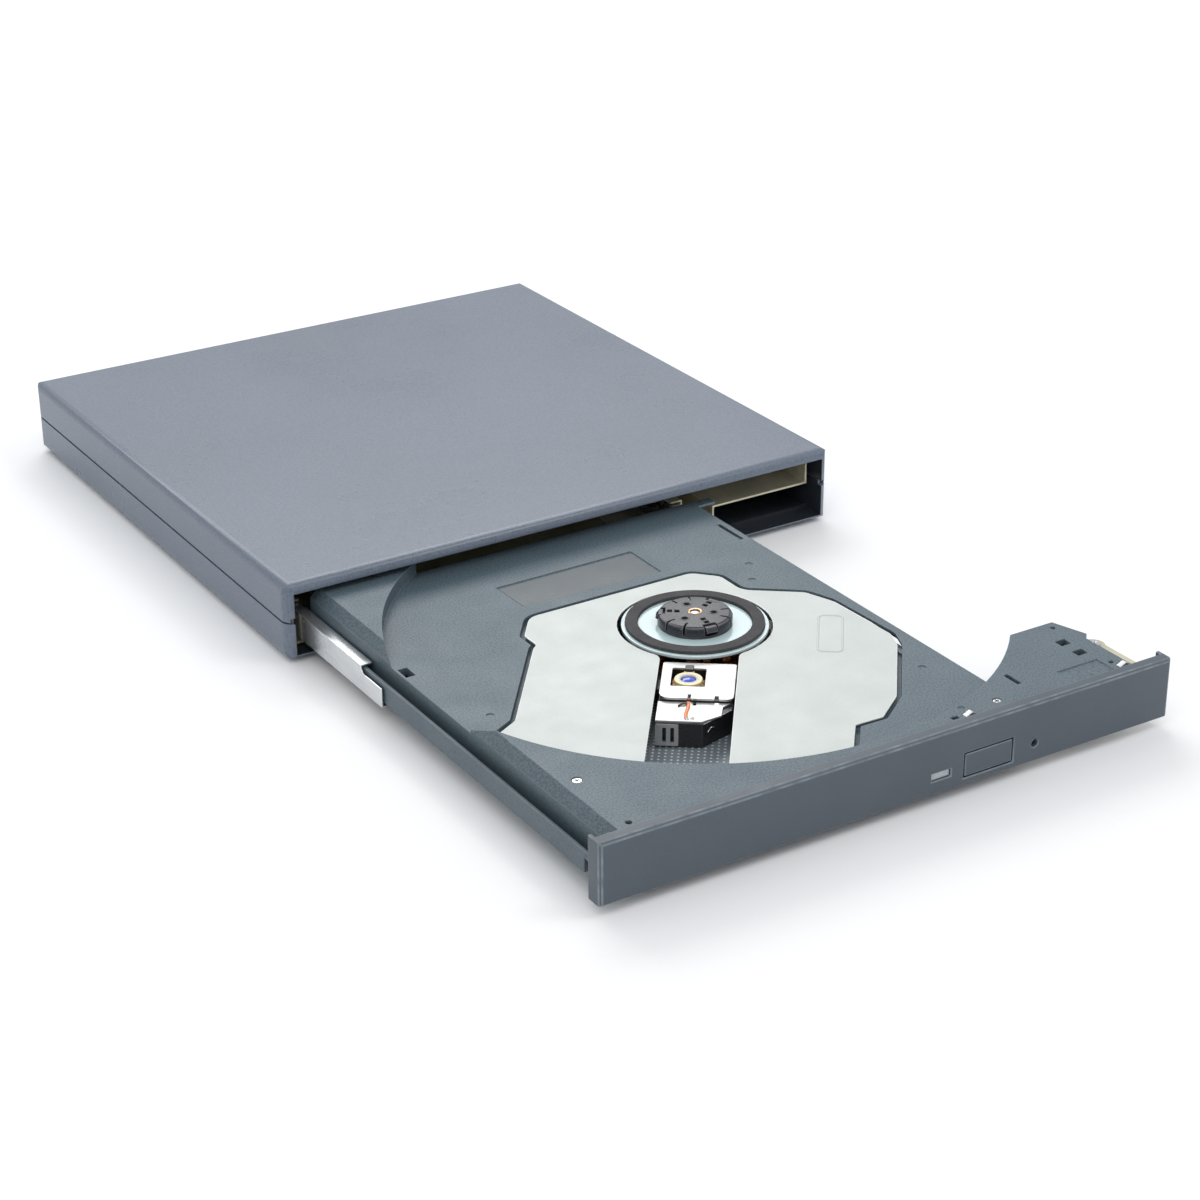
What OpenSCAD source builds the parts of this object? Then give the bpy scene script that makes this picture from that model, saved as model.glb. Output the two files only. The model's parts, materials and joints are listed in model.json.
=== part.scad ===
// External slimline optical drive: a thin case holding a tray-loading laptop disc drive,
// drawn with the tray fully out.

/* [Case] */
// Outer width of the case
case_w = 134; // [133:1:140]
// Outer depth of the case
case_d = 136; // [136:1:146]
// Outer height of the case, without the feet
case_h = 16.8; // [16.8:0.2:20]
// Side and rear wall of the case
case_wall = 2; // [1.6:0.1:2]
// Thickness of the case floor
floor_t = 1.1; // [0.8:0.1:1.1]
// Thickness of the case roof
roof_t = 2.2; // [1.5:0.1:2.2]
// Height of the seam between the two shells
seam_h = 8.2; // [7.8:0.1:8.6]
// Radius of the rounded outer edges of the case
case_edge_r = 1.9; // [1.5:0.1:2]
// Radius of the case's upright corners
case_corner_r = 2.6; // [2:0.1:3]
// Height that the rubber feet stand out below the case
foot_h = 0.8; // [0.5:0.1:1.5]

/* [Drive] */
// Thickness of the bezel
bezel_t = 2.6; // [2.2:0.1:2.6]
// Height of the drive above the case's underside
drive_z = 1.4; // [1.3:0.1:1.5]
// Thickness of the chassis sheet metal
sheet_t = 0.5; // [0.4:0.1:0.5]
// How far the tray slides out
tray_travel = 114; // [100:1:114]
// How far the middle rails slide while the tray slides all the way
rail_travel = 41; // [36:1:41]

/* [Disc] */
// Radius of the disc recess
recess_r = 61.8; // [61:0.1:62]
// Radius of the clamping hub, for a disc with a 15 mm hole
hub_r = 7.45; // [7.4:0.01:7.47]
// Outer radius of the rubber ring that the disc rests on
ring_r = 13.9; // [13.5:0.1:14]

/* [Hidden] */
$fn = 48;
eps = 0.01;

// Standard sizes of a slimline drive: its width and the height of its bezel
drive_w = 128;
bezel_h = 12.7;
// Distance from the bezel's front face to the spindle's axis
spindle_y = 67.3;

// Layout along the depth: Y = 0 is half way between the bezel and the back of the case
case_y = (tray_travel - case_d) / 2;
inner_x = case_w / 2 - case_wall;
inner_top = case_h - roof_t;
half_w = drive_w / 2;

// Chassis
chassis_y0 = 4.2;
chassis_y1 = 123.2;
step_x = 39;
shelf_h = 6.6;
lid_h = 12.1;
lid_t = 0.4;

// Sliding rails: heights above the drive's underside, and the clearance between nested channels
rail_sheet = 0.4;
rail_gap = 0.3;
outer_rail_h0 = 0.9;
outer_rail_h1 = 8;
outer_rail_depth = 3.1;
rail_nest = rail_sheet + rail_gap;
middle_rail_h0 = outer_rail_h0 + rail_nest;
middle_rail_h1 = outer_rail_h1 - rail_nest;
middle_rail_len = 84;
hook_drop = 1.6;
middle_rail_y = 8.6 - rail_travel;
tray_rail_h0 = middle_rail_h0 + rail_nest;
tray_rail_h1 = middle_rail_h1 - rail_nest;
left_rail_x = half_w - sheet_t;
right_rail_x = 33;

// Tray levels above the drive's underside
floor_top = 9;
floor_under = 7.4;
deck_top = 11.8;
over_rail_h = outer_rail_h1 + rail_gap;
tray_right = 32.8;
tray_rear = 118;
// Outer and inner faces of the tray's left and right side walls
left_wall = [-59.8, -58.6];
// The deck's left edge slopes down to the wall's outer face
slope_x = -57.9;
slope_foot = 9.7;
right_wall = [27.3, 28.5];
wall_foot = 2.3;
wing_x = 57.2;
wing_y = 25.7;
wing_under = 8.9;

// Mechanism levels and directions: the sled runs along S, and T is across it
sled_angle = 180 + atan2(4, 3);
frame_h = 2.6;
frame_t = 0.8;
rod_h = 5;
rod_r = 1;
rod_fit = 0.05;
main_rod_t = 13;
side_rod_t = -9;
screw_t = 17.2;
screw_r = 1.2;
lens_s = 22;
damper_spots = [[2, -20], [8, 21.5], [45, -18], [42, 25.5]];

// Spindle levels
platter_top = 9.2;
ring_top = 9.9;
// Inner radius of the rubber ring, and the depth of its seat in the platter
ring_r0 = 11.4;
ring_seat = 0.3;
hub_top = 11.75;
platter_r = 14.7;
shaft_r = 0.9;
claw_w = 2.4;
claw_gap = 0.25;
// Angle of the first claw from the sled's path, at rest
chuck_angle = 30;

// Bezel openings, as left, right, bottom and top edges
button_box = [14.2, 25.8, 1.6, 6.8];
window_box = [6.8, 11.2, 3, 4.6];
pinhole = [30.9, 4];

// Flat flexible cable
flex_x0 = 20.6;
flex_w = 6.2;
flex_t = 0.15;

// ---------- Frames of reference ----------

// Case: origin at the middle of the front opening, on the case's underside
module in_case() { translate([0, case_y, foot_h]) children(); }
// Drive: the same, on the drive's underside
module in_drive() { in_case() translate([0, 0, drive_z]) children(); }
// Tray: origin at the bezel's front face
module in_tray() { translate([0, -tray_travel, 0]) in_drive() children(); }
// Mechanism: X runs outwards along the sled's path, from the spindle's axis
module in_mechanism() { in_tray() translate([0, spindle_y, 0]) rotate([0, 0, sled_angle]) children(); }

// ---------- Shared shapes ----------

// A box given by its two corners
module span(low, high) { translate(low) cube(high - low); }

// A polygon in X and Z, extruded from y0 to y1
module along_y(y0, y1, points) {
    translate([0, y1, 0]) rotate([90, 0, 0]) linear_extrude(y1 - y0) polygon(points);
}

// A flat polygon between two heights
module slab(h0, h1, points) {
    translate([0, 0, h0]) linear_extrude(h1 - h0) polygon(points);
}

module disc(r, h0, h1) { translate([0, 0, h0]) cylinder(r = r, h = h1 - h0); }

function arc_points(r, a0, a1, steps) = [for (i = [0 : steps])
    let (a = a0 + (a1 - a0) * i / steps) [r * cos(a), spindle_y + r * sin(a)]];

// The line through p and q, moved d to its right, as a point and a direction
function moved_line(p, q, d) = let (u = (q - p) / norm(q - p)) [p + d * [u[1], -u[0]], u];
function cross2(a, b) = a[0] * b[1] - a[1] * b[0];
function meet(a, b) = a[0] + a[1] * cross2(b[0] - a[0], b[1]) / cross2(a[1], b[1]);
// An outline grown outwards by d; its points run counter-clockwise
function grown(points, d) = let (n = len(points)) [for (i = [0 : n - 1])
    meet(moved_line(points[(i + n - 1) % n], points[i], d),
         moved_line(points[i], points[(i + 1) % n], d))];

// An outline with its corners rounded to the given radii; a radius of 0 leaves a corner sharp
function unit(v) = v / norm(v);
function corner_arc(p, u, v, r, steps) = let (
        half = acos(u * v) / 2,
        centre = p + unit(u + v) * r / sin(half),
        first = p + u * r / tan(half) - centre,
        last = p + v * r / tan(half) - centre,
        a = atan2(first[1], first[0]),
        turn = (atan2(last[1], last[0]) - a + 540) % 360 - 180)
    [for (k = [0 : steps]) centre + r * [cos(a + turn * k / steps), sin(a + turn * k / steps)]];
function rounded(points, radii, steps = 5) = let (n = len(points)) [for (i = [0 : n - 1])
    let (p = points[i], u = unit(points[(i + n - 1) % n] - p), v = unit(points[(i + 1) % n] - p))
    for (q = radii[i] > 0 ? corner_arc(p, u, v, radii[i], steps) : [p]) q];

// C-shaped channel that opens towards the middle of the drive; side is -1 on the left
module channel(web_x, depth, h0, h1, y0, y1, side) {
    mirror([side < 0 ? 1 : 0, 0, 0]) along_y(y0, y1, [
        [web_x, h0], [web_x, h1], [web_x - depth, h1], [web_x - depth, h1 - rail_sheet],
        [web_x - rail_sheet, h1 - rail_sheet], [web_x - rail_sheet, h0 + rail_sheet],
        [web_x - depth, h0 + rail_sheet], [web_x - depth, h0]]);
}

// ---------- Case ----------

// Corner points of a w by h rectangle with rounded corners, its lower left corner at the origin
function rounded_rect(w, h, r, steps = 7) = [
    for (c = [[w - r, r, -90], [w - r, h - r, 0], [r, h - r, 90], [r, r, 180]])
        for (i = [0 : steps]) let (a = c[2] + 90 * i / steps) [c[0] + r * cos(a), c[1] + r * sin(a)]];

// Block with all its edges rounded: the part that three rounded bars share
module case_block() {
    intersection() {
        translate([-case_w / 2, 0, 0]) linear_extrude(case_h)
            polygon(rounded_rect(case_w, case_d, case_corner_r));
        translate([-case_w / 2, case_d, 0]) rotate([90, 0, 0]) linear_extrude(case_d)
            polygon(rounded_rect(case_w, case_h, case_edge_r));
        translate([-case_w / 2, 0, 0]) rotate([90, 0, 90]) linear_extrude(case_w)
            polygon(rounded_rect(case_d, case_h, case_edge_r));
    }
}

module case_cavity() {
    span([-inner_x, -1, floor_t], [inner_x, case_d - case_wall, inner_top]);
}

// Openings in the rear wall for the two sockets
module rear_openings() {
    span([-26.6, case_d - case_wall - 1, 4], [-17.7, case_d + 1, 8.5]);
    translate([-41, case_d + 1, 7.2]) rotate([90, 0, 0]) cylinder(r = 3.2, h = case_wall + 2);
}

case_screw_spots = [[-59.5, 129.4], [59.5, 129.4]];

module top_cover() color([0.16, 0.17, 0.19]) in_case() {
    difference() {
        case_block();
        case_cavity();
        span([-case_w, -1, -1], [case_w, case_d + 1, seam_h + 0.15]);
        span([-inner_x - 0.9, -1, 0], [inner_x + 0.9, case_d - case_wall + 0.9, seam_h + 1]);
        rear_openings();
    }
    for (p = case_screw_spots) translate(p) difference() {
        disc(2.6, 3.6, inner_top + 0.2);
        disc(0.95, 3, 12);
    }
}

module bottom_shell() color([0.16, 0.17, 0.19]) in_case() difference() {
    union() {
        difference() {
            case_block();
            case_cavity();
            span([-case_w, -1, seam_h - 0.15], [case_w, case_d + 1, case_h + 1]);
        }
        // Inner lip that the top cover closes over
        difference() {
            span([-inner_x - 0.8, 1.5, seam_h - 0.2],
                [inner_x + 0.8, case_d - case_wall + 0.8, seam_h + 0.9]);
            span([-inner_x, 0, 0], [inner_x, case_d - case_wall, case_h]);
        }
        // Pads that the drive rests on, and a rib under the chassis shelf
        for (x = [-40, 10]) span([x, 12, floor_t - 0.1], [x + 4, 118, drive_z]);
        span([56, 30, floor_t - 0.1], [57.5, 118, drive_z + shelf_h - sheet_t]);
        // Low ridge across the floor behind the opening
        span([42, 5.2, floor_t - 0.1], [inner_x + 0.1, 6, floor_t + 0.8]);
        for (p = case_screw_spots) translate(p) disc(3.4, floor_t - 0.1, 3.4);
        for (x = [-48, -8, 30]) translate([x, 129.2, 0]) disc(2, floor_t - 0.1, 3.4);
    }
    for (p = case_screw_spots) translate(p) {
        disc(1.15, -1, 6);
        disc(2.3, -1, 1.7);
    }
    rear_openings();
}

module rubber_feet() color([0.08, 0.08, 0.08]) in_case()
    for (x = [-54, 54], y = [14, 120]) translate([x, y, 0]) {
        disc(5, -foot_h + 0.25, 0);
        disc(4.75, -foot_h, -foot_h + 0.3);
    }

// Cross-recessed pan-head screw that points up, with the underside of its head at z = 0
module screw_up(head_r, head_t, shank_r, length) {
    difference() {
        disc(head_r, -head_t, 0);
        for (a = [0, 90]) rotate([0, 0, a])
            span([-head_r * 0.6, -head_r * 0.14, -head_t - 1], [head_r * 0.6, head_r * 0.14, -head_t * 0.4]);
    }
    disc(shank_r, -eps, length);
}

module case_screws() color([0.55, 0.56, 0.58]) in_case()
    for (p = case_screw_spots) translate([p[0], p[1], 1.7]) screw_up(2.1, 1.2, 0.9, 8);

// ---------- Bridge board behind the drive ----------

board_z = 3.4;
board_top = board_z + 0.8;

module bridge_board() color([0.05, 0.3, 0.16]) in_case() difference() {
    span([-51, 124.6, board_z], [34, 133.7, board_top]);
    for (x = [-48, 30]) translate([x, 129.2, 0]) disc(0.8, 0, 9);
}

module bridge_chip() color([0.07, 0.07, 0.08]) in_case() {
    span([-11.5, 125.6, board_top + 0.1], [-4.5, 132.6, board_top + 1.3]);
    for (i = [0 : 9])
        span([-11.05 + i * 0.65, 124.9, board_top], [-10.8 + i * 0.65, 133.3, board_top + 0.2]);
}

module board_components() color([0.7, 0.7, 0.72]) in_case() {
    // Crystal in its can
    hull() for (x = [0.4, 6.6]) translate([x, 131.7, 0]) disc(1.7, board_top, board_top + 3, $fn = 24);
    // Electrolytic capacitors
    for (x = [-33, -13.9]) translate([x, 128.6, 0]) disc(1.9, board_top, board_top + 5.2);
    // Chip capacitors and resistors
    for (i = [0 : 5]) span([12 + i * 3, 131, board_top], [13.6 + i * 3, 131.9, board_top + 0.6]);
}

module usb_socket() color([0.75, 0.76, 0.78]) in_case() {
    difference() {
        span([-26, 126.4, board_top], [-18.3, case_d - 0.3, board_top + 3.9]);
        span([-25.6, 128, board_top + 0.4], [-18.7, case_d, board_top + 3.5]);
    }
    // Contact tongue
    span([-24.4, 127.9, board_top + 1.5], [-19.9, case_d - 1.3, board_top + 2.3]);
}

module dc_jack() color([0.06, 0.06, 0.07]) in_case() {
    difference() {
        span([-44, 125.4, board_top], [-38, case_d - case_wall - 0.2, 10.2]);
        translate([-41, case_d, 7.2]) rotate([90, 0, 0]) cylinder(r = 1.75, h = 9);
    }
    difference() {
        translate([-41, case_d - 0.3, 7.2]) rotate([90, 0, 0]) cylinder(r = 2.9, h = case_wall);
        translate([-41, case_d, 7.2]) rotate([90, 0, 0]) cylinder(r = 1.75, h = 9);
    }
    translate([-41, case_d - 1.2, 7.2]) rotate([90, 0, 0]) cylinder(r = 0.6, h = 8);
}

module board_connector() color([0.1, 0.1, 0.11]) in_case() difference() {
    span([-3, 124.9, board_top], [28, 129.6, board_top + 4]);
    span([-1.5, 124.5, board_top + 1.2], [26.5, 127.4, board_top + 2.8]);
}

module drive_connector() color([0.82, 0.8, 0.72]) in_case() {
    span([-4, 118.6, board_top + 0.1], [29, 124.8, 8.6]);
    span([-1.2, 124.7, board_top + 1.5], [26.2, 127.1, board_top + 2.5]);
}

// ---------- Drive chassis ----------

// Stepped sheet-metal pan, thinner on the right
module drive_chassis() color([0.7, 0.62, 0.42]) in_drive() difference() {
    union() {
        along_y(chassis_y0, chassis_y1, [
            [-half_w, 0], [step_x, 0], [step_x, shelf_h - sheet_t], [half_w, shelf_h - sheet_t],
            [half_w, lid_h], [half_w - sheet_t, lid_h], [half_w - sheet_t, shelf_h],
            [step_x - sheet_t, shelf_h], [step_x - sheet_t, sheet_t],
            [-half_w + sheet_t, sheet_t], [-half_w + sheet_t, lid_h], [-half_w, lid_h]]);
        along_y(chassis_y1 - sheet_t, chassis_y1, [
            [-half_w, 0], [step_x, 0], [step_x, shelf_h - sheet_t], [half_w, shelf_h - sheet_t],
            [half_w, lid_h], [-half_w, lid_h]]);
    }
    // Opening for the rear connector
    span([-4.2, chassis_y1 - 2, 2.2], [29.2, chassis_y1 + 1, 7.4]);
    // Round holes over the pads' line, as punched for assembly
    for (x = [-25, 0], y = [30, 60]) translate([x, y, 0]) disc(2, -1, 1);
}

module drive_lid() color([0.66, 0.66, 0.66]) in_drive() difference() {
    span([-half_w, chassis_y0, lid_h], [half_w, chassis_y1, lid_h + lid_t]);
    for (p = lid_screw_spots) translate(p) disc(0.8, lid_h - 1, lid_h + 1);
}

lid_screw_spots = [[-54, 120], [54, 120], [-20, 120], [20, 120]];

module lid_screws() color([0.3, 0.3, 0.32]) in_drive()
    for (p = lid_screw_spots)
        translate([p[0], p[1], lid_h + lid_t]) mirror([0, 0, 1]) screw_up(1.5, 0.4, 0.75, 1.6);

module outer_rail_left() color([0.72, 0.68, 0.56]) in_drive()
    channel(left_rail_x, outer_rail_depth, outer_rail_h0, outer_rail_h1, 8, 121, -1);

// The right-hand rail stands on a foot that is fixed to the chassis floor
module outer_rail_right() color([0.72, 0.68, 0.56]) in_drive() {
    channel(right_rail_x, outer_rail_depth, outer_rail_h0, outer_rail_h1, 8, 121, 1);
    for (y = [20, 68, 108])
        span([right_rail_x - eps, y, sheet_t], [step_x - sheet_t, y + 10, outer_rail_h0 + rail_sheet]);
}

module middle_rail(web_x, side) {
    difference() {
        channel(web_x, outer_rail_depth - 0.5, middle_rail_h0, middle_rail_h1,
            middle_rail_y, middle_rail_y + middle_rail_len, side);
        // The upper flange ends in a step before the web does
        mirror([side < 0 ? 1 : 0, 0, 0]) translate([web_x - 4, middle_rail_y, middle_rail_h1])
            rotate([90, 0, 90]) linear_extrude(5)
                polygon([[-1, -hook_drop], [7.6, -hook_drop], [8.4, 0.6 - hook_drop], [8.4, 1], [-1, 1]]);
    }
}

module middle_rail_left() color([0.82, 0.83, 0.84]) in_drive() middle_rail(left_rail_x - rail_nest, -1);
module middle_rail_right() color([0.82, 0.83, 0.84]) in_drive() middle_rail(right_rail_x - rail_nest, 1);

module main_board() color([0.05, 0.28, 0.2]) in_drive() {
    span([-54, 88.5, 0.8], [27, 119.4, 1.5]);
    for (x = [-50, 16], y = [92, 116]) translate([x, y, 0]) disc(2, sheet_t, 0.85);
}

module main_board_chips() color([0.08, 0.08, 0.09]) in_drive() {
    span([-40, 96, 1.5], [-24, 112, 2.7]);
    span([-16, 98, 1.5], [-6, 108, 2.6]);
    span([-2, 94, 1.5], [8, 100, 2.5]);
    // Sockets for the flat cable and the rear connector's row of pins
    span([20.2, 89.5, 1.5], [27, 92.6, 2.6]);
    span([-4, 115.6, 1.5], [26.8, 119.2, 2.9]);
}

// Post on the chassis shelf that the latch hook catches
latch_post_xy = [46, 17];
module latch_post() color([0.75, 0.75, 0.77]) in_drive() translate(latch_post_xy) {
    disc(1.2, shelf_h, 8.4);
    disc(2.2, shelf_h, shelf_h + 0.3);
}

// Plunger that pushes the tray out a little when the latch lets go, drawn at the end of its stroke
pusher_travel = 8;
pusher_y = 118.3 - pusher_travel;
module eject_pusher() color([0.85, 0.85, 0.83]) in_drive() difference() {
    union() {
        span([33.6, pusher_y - 9, 1.7], [38.1, pusher_y + 1.5, 5.8]);
        span([33.6, pusher_y, 1.7], [38.1, pusher_y + 1.5, 8.9]);
    }
    // Channel that holds the spring
    translate([35.85, pusher_y - 8, 3.75]) rotate([-90, 0, 0]) cylinder(r = 1.55, h = 20);
}

// Compression spring behind the plunger, as a stack of turns
module eject_spring() color([0.6, 0.6, 0.62]) in_drive()
    translate([35.85, chassis_y1 - sheet_t, 3.75]) rotate([90, 0, 0]) for (i = [0 : 6])
        translate([0, 0, i * 0.42]) rotate_extrude($fn = 24) translate([0.95, 0]) square([0.35, 0.42 + eps]);

// ---------- Flat cable between the board and the tray ----------

module flex_cable_fixed() color([0.86, 0.84, 0.76]) in_drive()
    span([flex_x0, 28, sheet_t], [flex_x0 + flex_w, 89.4, sheet_t + flex_t]);

// Rolling bend, which follows the tray at half its speed
flex_loop_y = -20;
flex_loop_h = 2.05;
flex_bend_r = 1.15;
module flex_cable_loop() color([0.86, 0.84, 0.76]) in_drive() {
    low = flex_loop_h - flex_bend_r;
    span([flex_x0, flex_loop_y, low], [flex_x0 + flex_w, flex_loop_y + 50, low + flex_t]);
    span([flex_x0, flex_loop_y, flex_loop_h + flex_bend_r - flex_t],
        [flex_x0 + flex_w, flex_loop_y + 5, flex_loop_h + flex_bend_r]);
    translate([flex_x0, flex_loop_y, flex_loop_h]) rotate([0, 90, 0]) difference() {
        cylinder(r = flex_bend_r, h = flex_w);
        translate([0, 0, -1]) cylinder(r = flex_bend_r - flex_t, h = flex_w + 2);
        span([-3, 0, -1], [3, 3, flex_w + 1]);
    }
}

flex_shelf_h = 3.65;
module flex_cable_tray() color([0.86, 0.84, 0.76]) in_tray()
    span([flex_x0, 36, flex_shelf_h - flex_t], [flex_x0 + flex_w, 100, flex_shelf_h]);

// ---------- Tray ----------

// Outline of the deck around the recess, seen from above
wing_edge = [[wing_x, bezel_t], [wing_x, 17.2], [58.6, 18.1], [56.2, wing_y]];
deck_outline = concat([[left_wall[0], bezel_t]], wing_edge,
    [[tray_right, wing_y], [tray_right, tray_rear], [left_wall[0], tray_rear]]);

// Cover plate outline, counter-clockwise from its front left corner along the recess
plate_r = 61.4;
plate_arc = arc_points(plate_r, 198.9, 263.9, 16);
plate_corners = [[1.7, 16.4, 0], [7.9, 16.2, 0.5], [15, 21.4, 3], [28.3, 38.5, 4], [30.1, 43, 3],
    [29.2, 61.5, 4], [27, 67.5, 3], [16.8, 75.4, 4], [16.8, 83, 2.5], [12.5, 87.7, 3], [-26.2, 87.7, 4],
    [-31.2, 81, 1.5], [-31.2, 76.4, 1.2], [-32.6, 75.2, 0.4], [-50.5, 51.5, 2]];
plate_outline = rounded(concat(plate_arc, [for (c = plate_corners) [c[0], c[1]]]),
    concat([for (p = plate_arc) 0], [for (c = plate_corners) c[2]]));
// The tray's pocket for it leaves a groove all round
plate_gap = 0.9;

slot_t0 = -5.9;
slot_t1 = 9.3;
slot_end = 70;
plate_hole_r = 15.5;
hole_a0 = asin(slot_t0 / plate_hole_r);
hole_a1 = asin(slot_t1 / plate_hole_r);
hole_arc = [for (i = [0 : 40]) let (a = hole_a1 + (360 + hole_a0 - hole_a1) * i / 40)
    plate_hole_r * [cos(a), sin(a)]];
// The plate's keyhole opening, in the mechanism's frame: rounded where the circle meets the slot
keyhole = rounded(concat(hole_arc, [[slot_end, slot_t0], [slot_end, slot_t1]]),
    concat([2.5], [for (i = [1 : 39]) 0], [2.5, 0, 0]));

module round_hole(x, y, r) { translate([x, y, 0]) disc(r, -1, 20); }

module tray_deck() {
    difference() {
        union() {
            // Floor of the recess
            span([left_wall[0], bezel_t, floor_under], [right_wall[1], tray_rear, floor_top]);
            span([right_wall[1] - 0.1, bezel_t, over_rail_h], [tray_right, tray_rear, floor_top]);
            // Raised deck
            difference() {
                slab(floor_top - eps, deck_top, deck_outline);
                along_y(0, tray_rear + 1, [[left_wall[0] - eps, slope_foot], [slope_x, deck_top + eps],
                    [left_wall[0] - eps, deck_top + eps]]);
                span([tray_right - eps, bezel_t + 1.4, 0], [80, wing_y + 1, wing_under]);
            }
            // Rim of the wing
            slab(wing_under, floor_top,
                concat([[tray_right - 1, bezel_t]], wing_edge, [[tray_right - 1, wing_y]]));
        }
        // Disc recess
        translate([0, spindle_y, 0]) disc(recess_r, floor_top, 20, $fn = 180);
        // The wing stops at the recess: nothing is left below the disc beyond the tray's edge
        difference() {
            translate([0, spindle_y, 0]) disc(recess_r, 0, 20, $fn = 180);
            span([-80, -1, -1], [tray_right, 140, 20]);
        }
        // Hollow under the wing
        slab(0, 10.4, [[34.4, 4.2], [56.1, 4.2], [56.1, 20.8], [55.1, 24.3],
            [48.4, 24.3], [43.5, 19.3], [38.5, 15.4], [34.4, 13.2]]);
        // Hollow under the front of the deck
        slab(0, 10.3, [[-58, 4.2], [tray_right - 2, 4.2], [tray_right - 2, 9.5], [22, 6.5], [10, 4.6],
            [-12, 4.6], [-33, 11], [-50, 25], [-58, 35]]);
    }
}

module tray() color([0.2, 0.25, 0.28]) in_tray() {
    difference() {
        tray_deck();
        // Pocket for the cover plate, with a groove round it, inside the recess
        intersection() {
            translate([0, spindle_y, 0]) disc(recess_r, 0, 20, $fn = 180);
            difference() {
                slab(7.75, 9.5, grown(plate_outline, plate_gap));
                slab(0, 8.55, grown(plate_outline, -0.2));
            }
        }
        // Window for the sled and the turntable
        translate([0, spindle_y, 0]) {
            disc(15.9, 0, 9.5);
            rotate([0, 0, sled_angle]) span([0, slot_t0 - 0.4, 0], [72, slot_t1 + 0.4, floor_top]);
        }
        // Plain recessed panel near the back
        slab(floor_top - 0.35, 20, [[-24.7, 92.6], [7.8, 91.6], [7.8, 103.4], [-24.9, 103.1]]);
        // Square hole beside the recess, and a slot at the right-hand edge
        span([-59.2, 77.7, 0], [-57.2, 81.4, 20]);
        span([30.6, 96, 0], [31.5, 105, 20]);
        // Holes in the wing for clips, screws and posts
        round_hole(54.7, 23.6, 0.5);
        span([51, 16.6, 0], [53.4, 18.8, 20]);
        span([51, 11.8, 0], [53.4, 13.8, 20]);
        round_hole(54.4, 6.4, 0.5);
        round_hole(-54.9, 22.2, 1);
        span([33.6, 8.8, 8], [34.5, 13, 20]);
        round_hole(26.3, 5.9, 0.9);
        round_hole(-55.1, 4.9, 0.6);
        span([14.6, 4.2, 8], [16.2, 5.2, 20]);
        // Shallow ejector-pin marks
        for (p = [[25.1, 84.8], [21.3, 78.2], [26.3, 28.2], [-53.3, 55.8]])
            translate(p) disc(0.8, floor_top - 0.2, 20);
        translate([18.7, 7]) disc(0.7, deck_top - 0.2, 20);
        // Shallow rectangle pressed into the wing
        span([43, 3, deck_top - 0.25], [52.9, 8.8, 20]);
    }
    // Left side wall with its rail
    difference() {
        union() {
            span([left_wall[0], 5, wall_foot], [left_wall[1], tray_rear, floor_under + eps]);
            span([-left_rail_x + 2 * rail_nest, 6, tray_rail_h0],
                [left_wall[0] + 0.1, tray_rear, tray_rail_h1]);
        }
        // Channel between the rail's lip and the wall
        span([-61.3, 0, 4.4], [left_wall[0], 130, 7]);
        // Notch near the bezel
        span([-63, 5, 0], [-61, 8.2, 5.2]);
    }
    // Right side wall with its rail
    span([right_wall[0], 5, wall_foot], [right_wall[1], tray_rear, floor_under + eps]);
    span([right_wall[1] - 0.1, 6, tray_rail_h0], [right_rail_x - 2 * rail_nest, tray_rear, tray_rail_h1]);
    span([right_wall[0], 5, floor_under - 0.2], [right_wall[1], tray_rear, over_rail_h]);
    // Front wall in two lengths, on both sides of the switch board
    span([left_wall[0], bezel_t, 2], [2, 4, floor_under + eps]);
    span([30, bezel_t, 2], [tray_right, 4, over_rail_h + eps]);
    // Cross wall behind the mechanism, rear wall, and the shelf for the flat cable
    span([-58.7, 83, flex_shelf_h], [27.4, 84.2, floor_under + eps]);
    span([-58.7, tray_rear - 1.2, 4.2], [27.4, tray_rear, floor_under + eps]);
    span([19.7, 36, flex_shelf_h], [27.4, 100, flex_shelf_h + 0.6]);
    for (y = [36, 60, 98.8]) span([19.7, y, flex_shelf_h], [27.4, y + 1.2, floor_under + eps]);
    // Tab that the plunger pushes
    span([tray_right - eps, 115.5, over_rail_h], [37.4, tray_rear, 8.9]);
    // Posts for the mechanism's dampers
    translate([0, spindle_y, 0]) rotate([0, 0, sled_angle]) for (p = damper_spots) translate(p) difference() {
        disc(1.9, 4.3, 7.5);
        disc(0.85, 4, 7);
    }
}

module bezel() color([0.33, 0.36, 0.4]) in_tray() difference() {
    union() {
        hull() {
            span([-half_w, 0.5, 0], [half_w, bezel_t, bezel_h]);
            span([-half_w + 0.5, 0, 0.5], [half_w - 0.5, 1, bezel_h - 0.5]);
        }
        for (x = [-half_w, half_w - 0.75]) span([x, 1, 0], [x + 0.75, 3.9, bezel_h]);
    }
    span([button_box[0], -1, button_box[2]], [button_box[1], 5, button_box[3]]);
    span([window_box[0], -1, window_box[2]], [window_box[1], 5, window_box[3]]);
    translate([pinhole[0], 5, pinhole[1]]) rotate([90, 0, 0]) cylinder(r = 0.75, h = 8, $fn = 32);
}

module light_pipe() color([0.8, 0.82, 0.82]) in_tray() {
    span([window_box[0], 0.5, window_box[2]], [window_box[1], 3, window_box[3]]);
    span([window_box[0] + 1, 2.9, window_box[2]], [window_box[1] - 1, 4.8, window_box[3]]);
}

button_gap = 0.3;
module eject_button() color([0.33, 0.36, 0.4]) in_tray() {
    difference() {
        span([button_box[0] + button_gap, 0.05, button_box[2] + button_gap],
            [button_box[1] - button_gap, bezel_t + 0.3, button_box[3] - button_gap]);
        span([button_box[0] + 1.5, 1.5, button_box[2] + 1.5], [button_box[1] - 1.5, 5, button_box[3] - 1.5]);
    }
    span([18.9, 1.4, 3.3], [21.1, 3.9, 5.1]);
}

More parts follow.
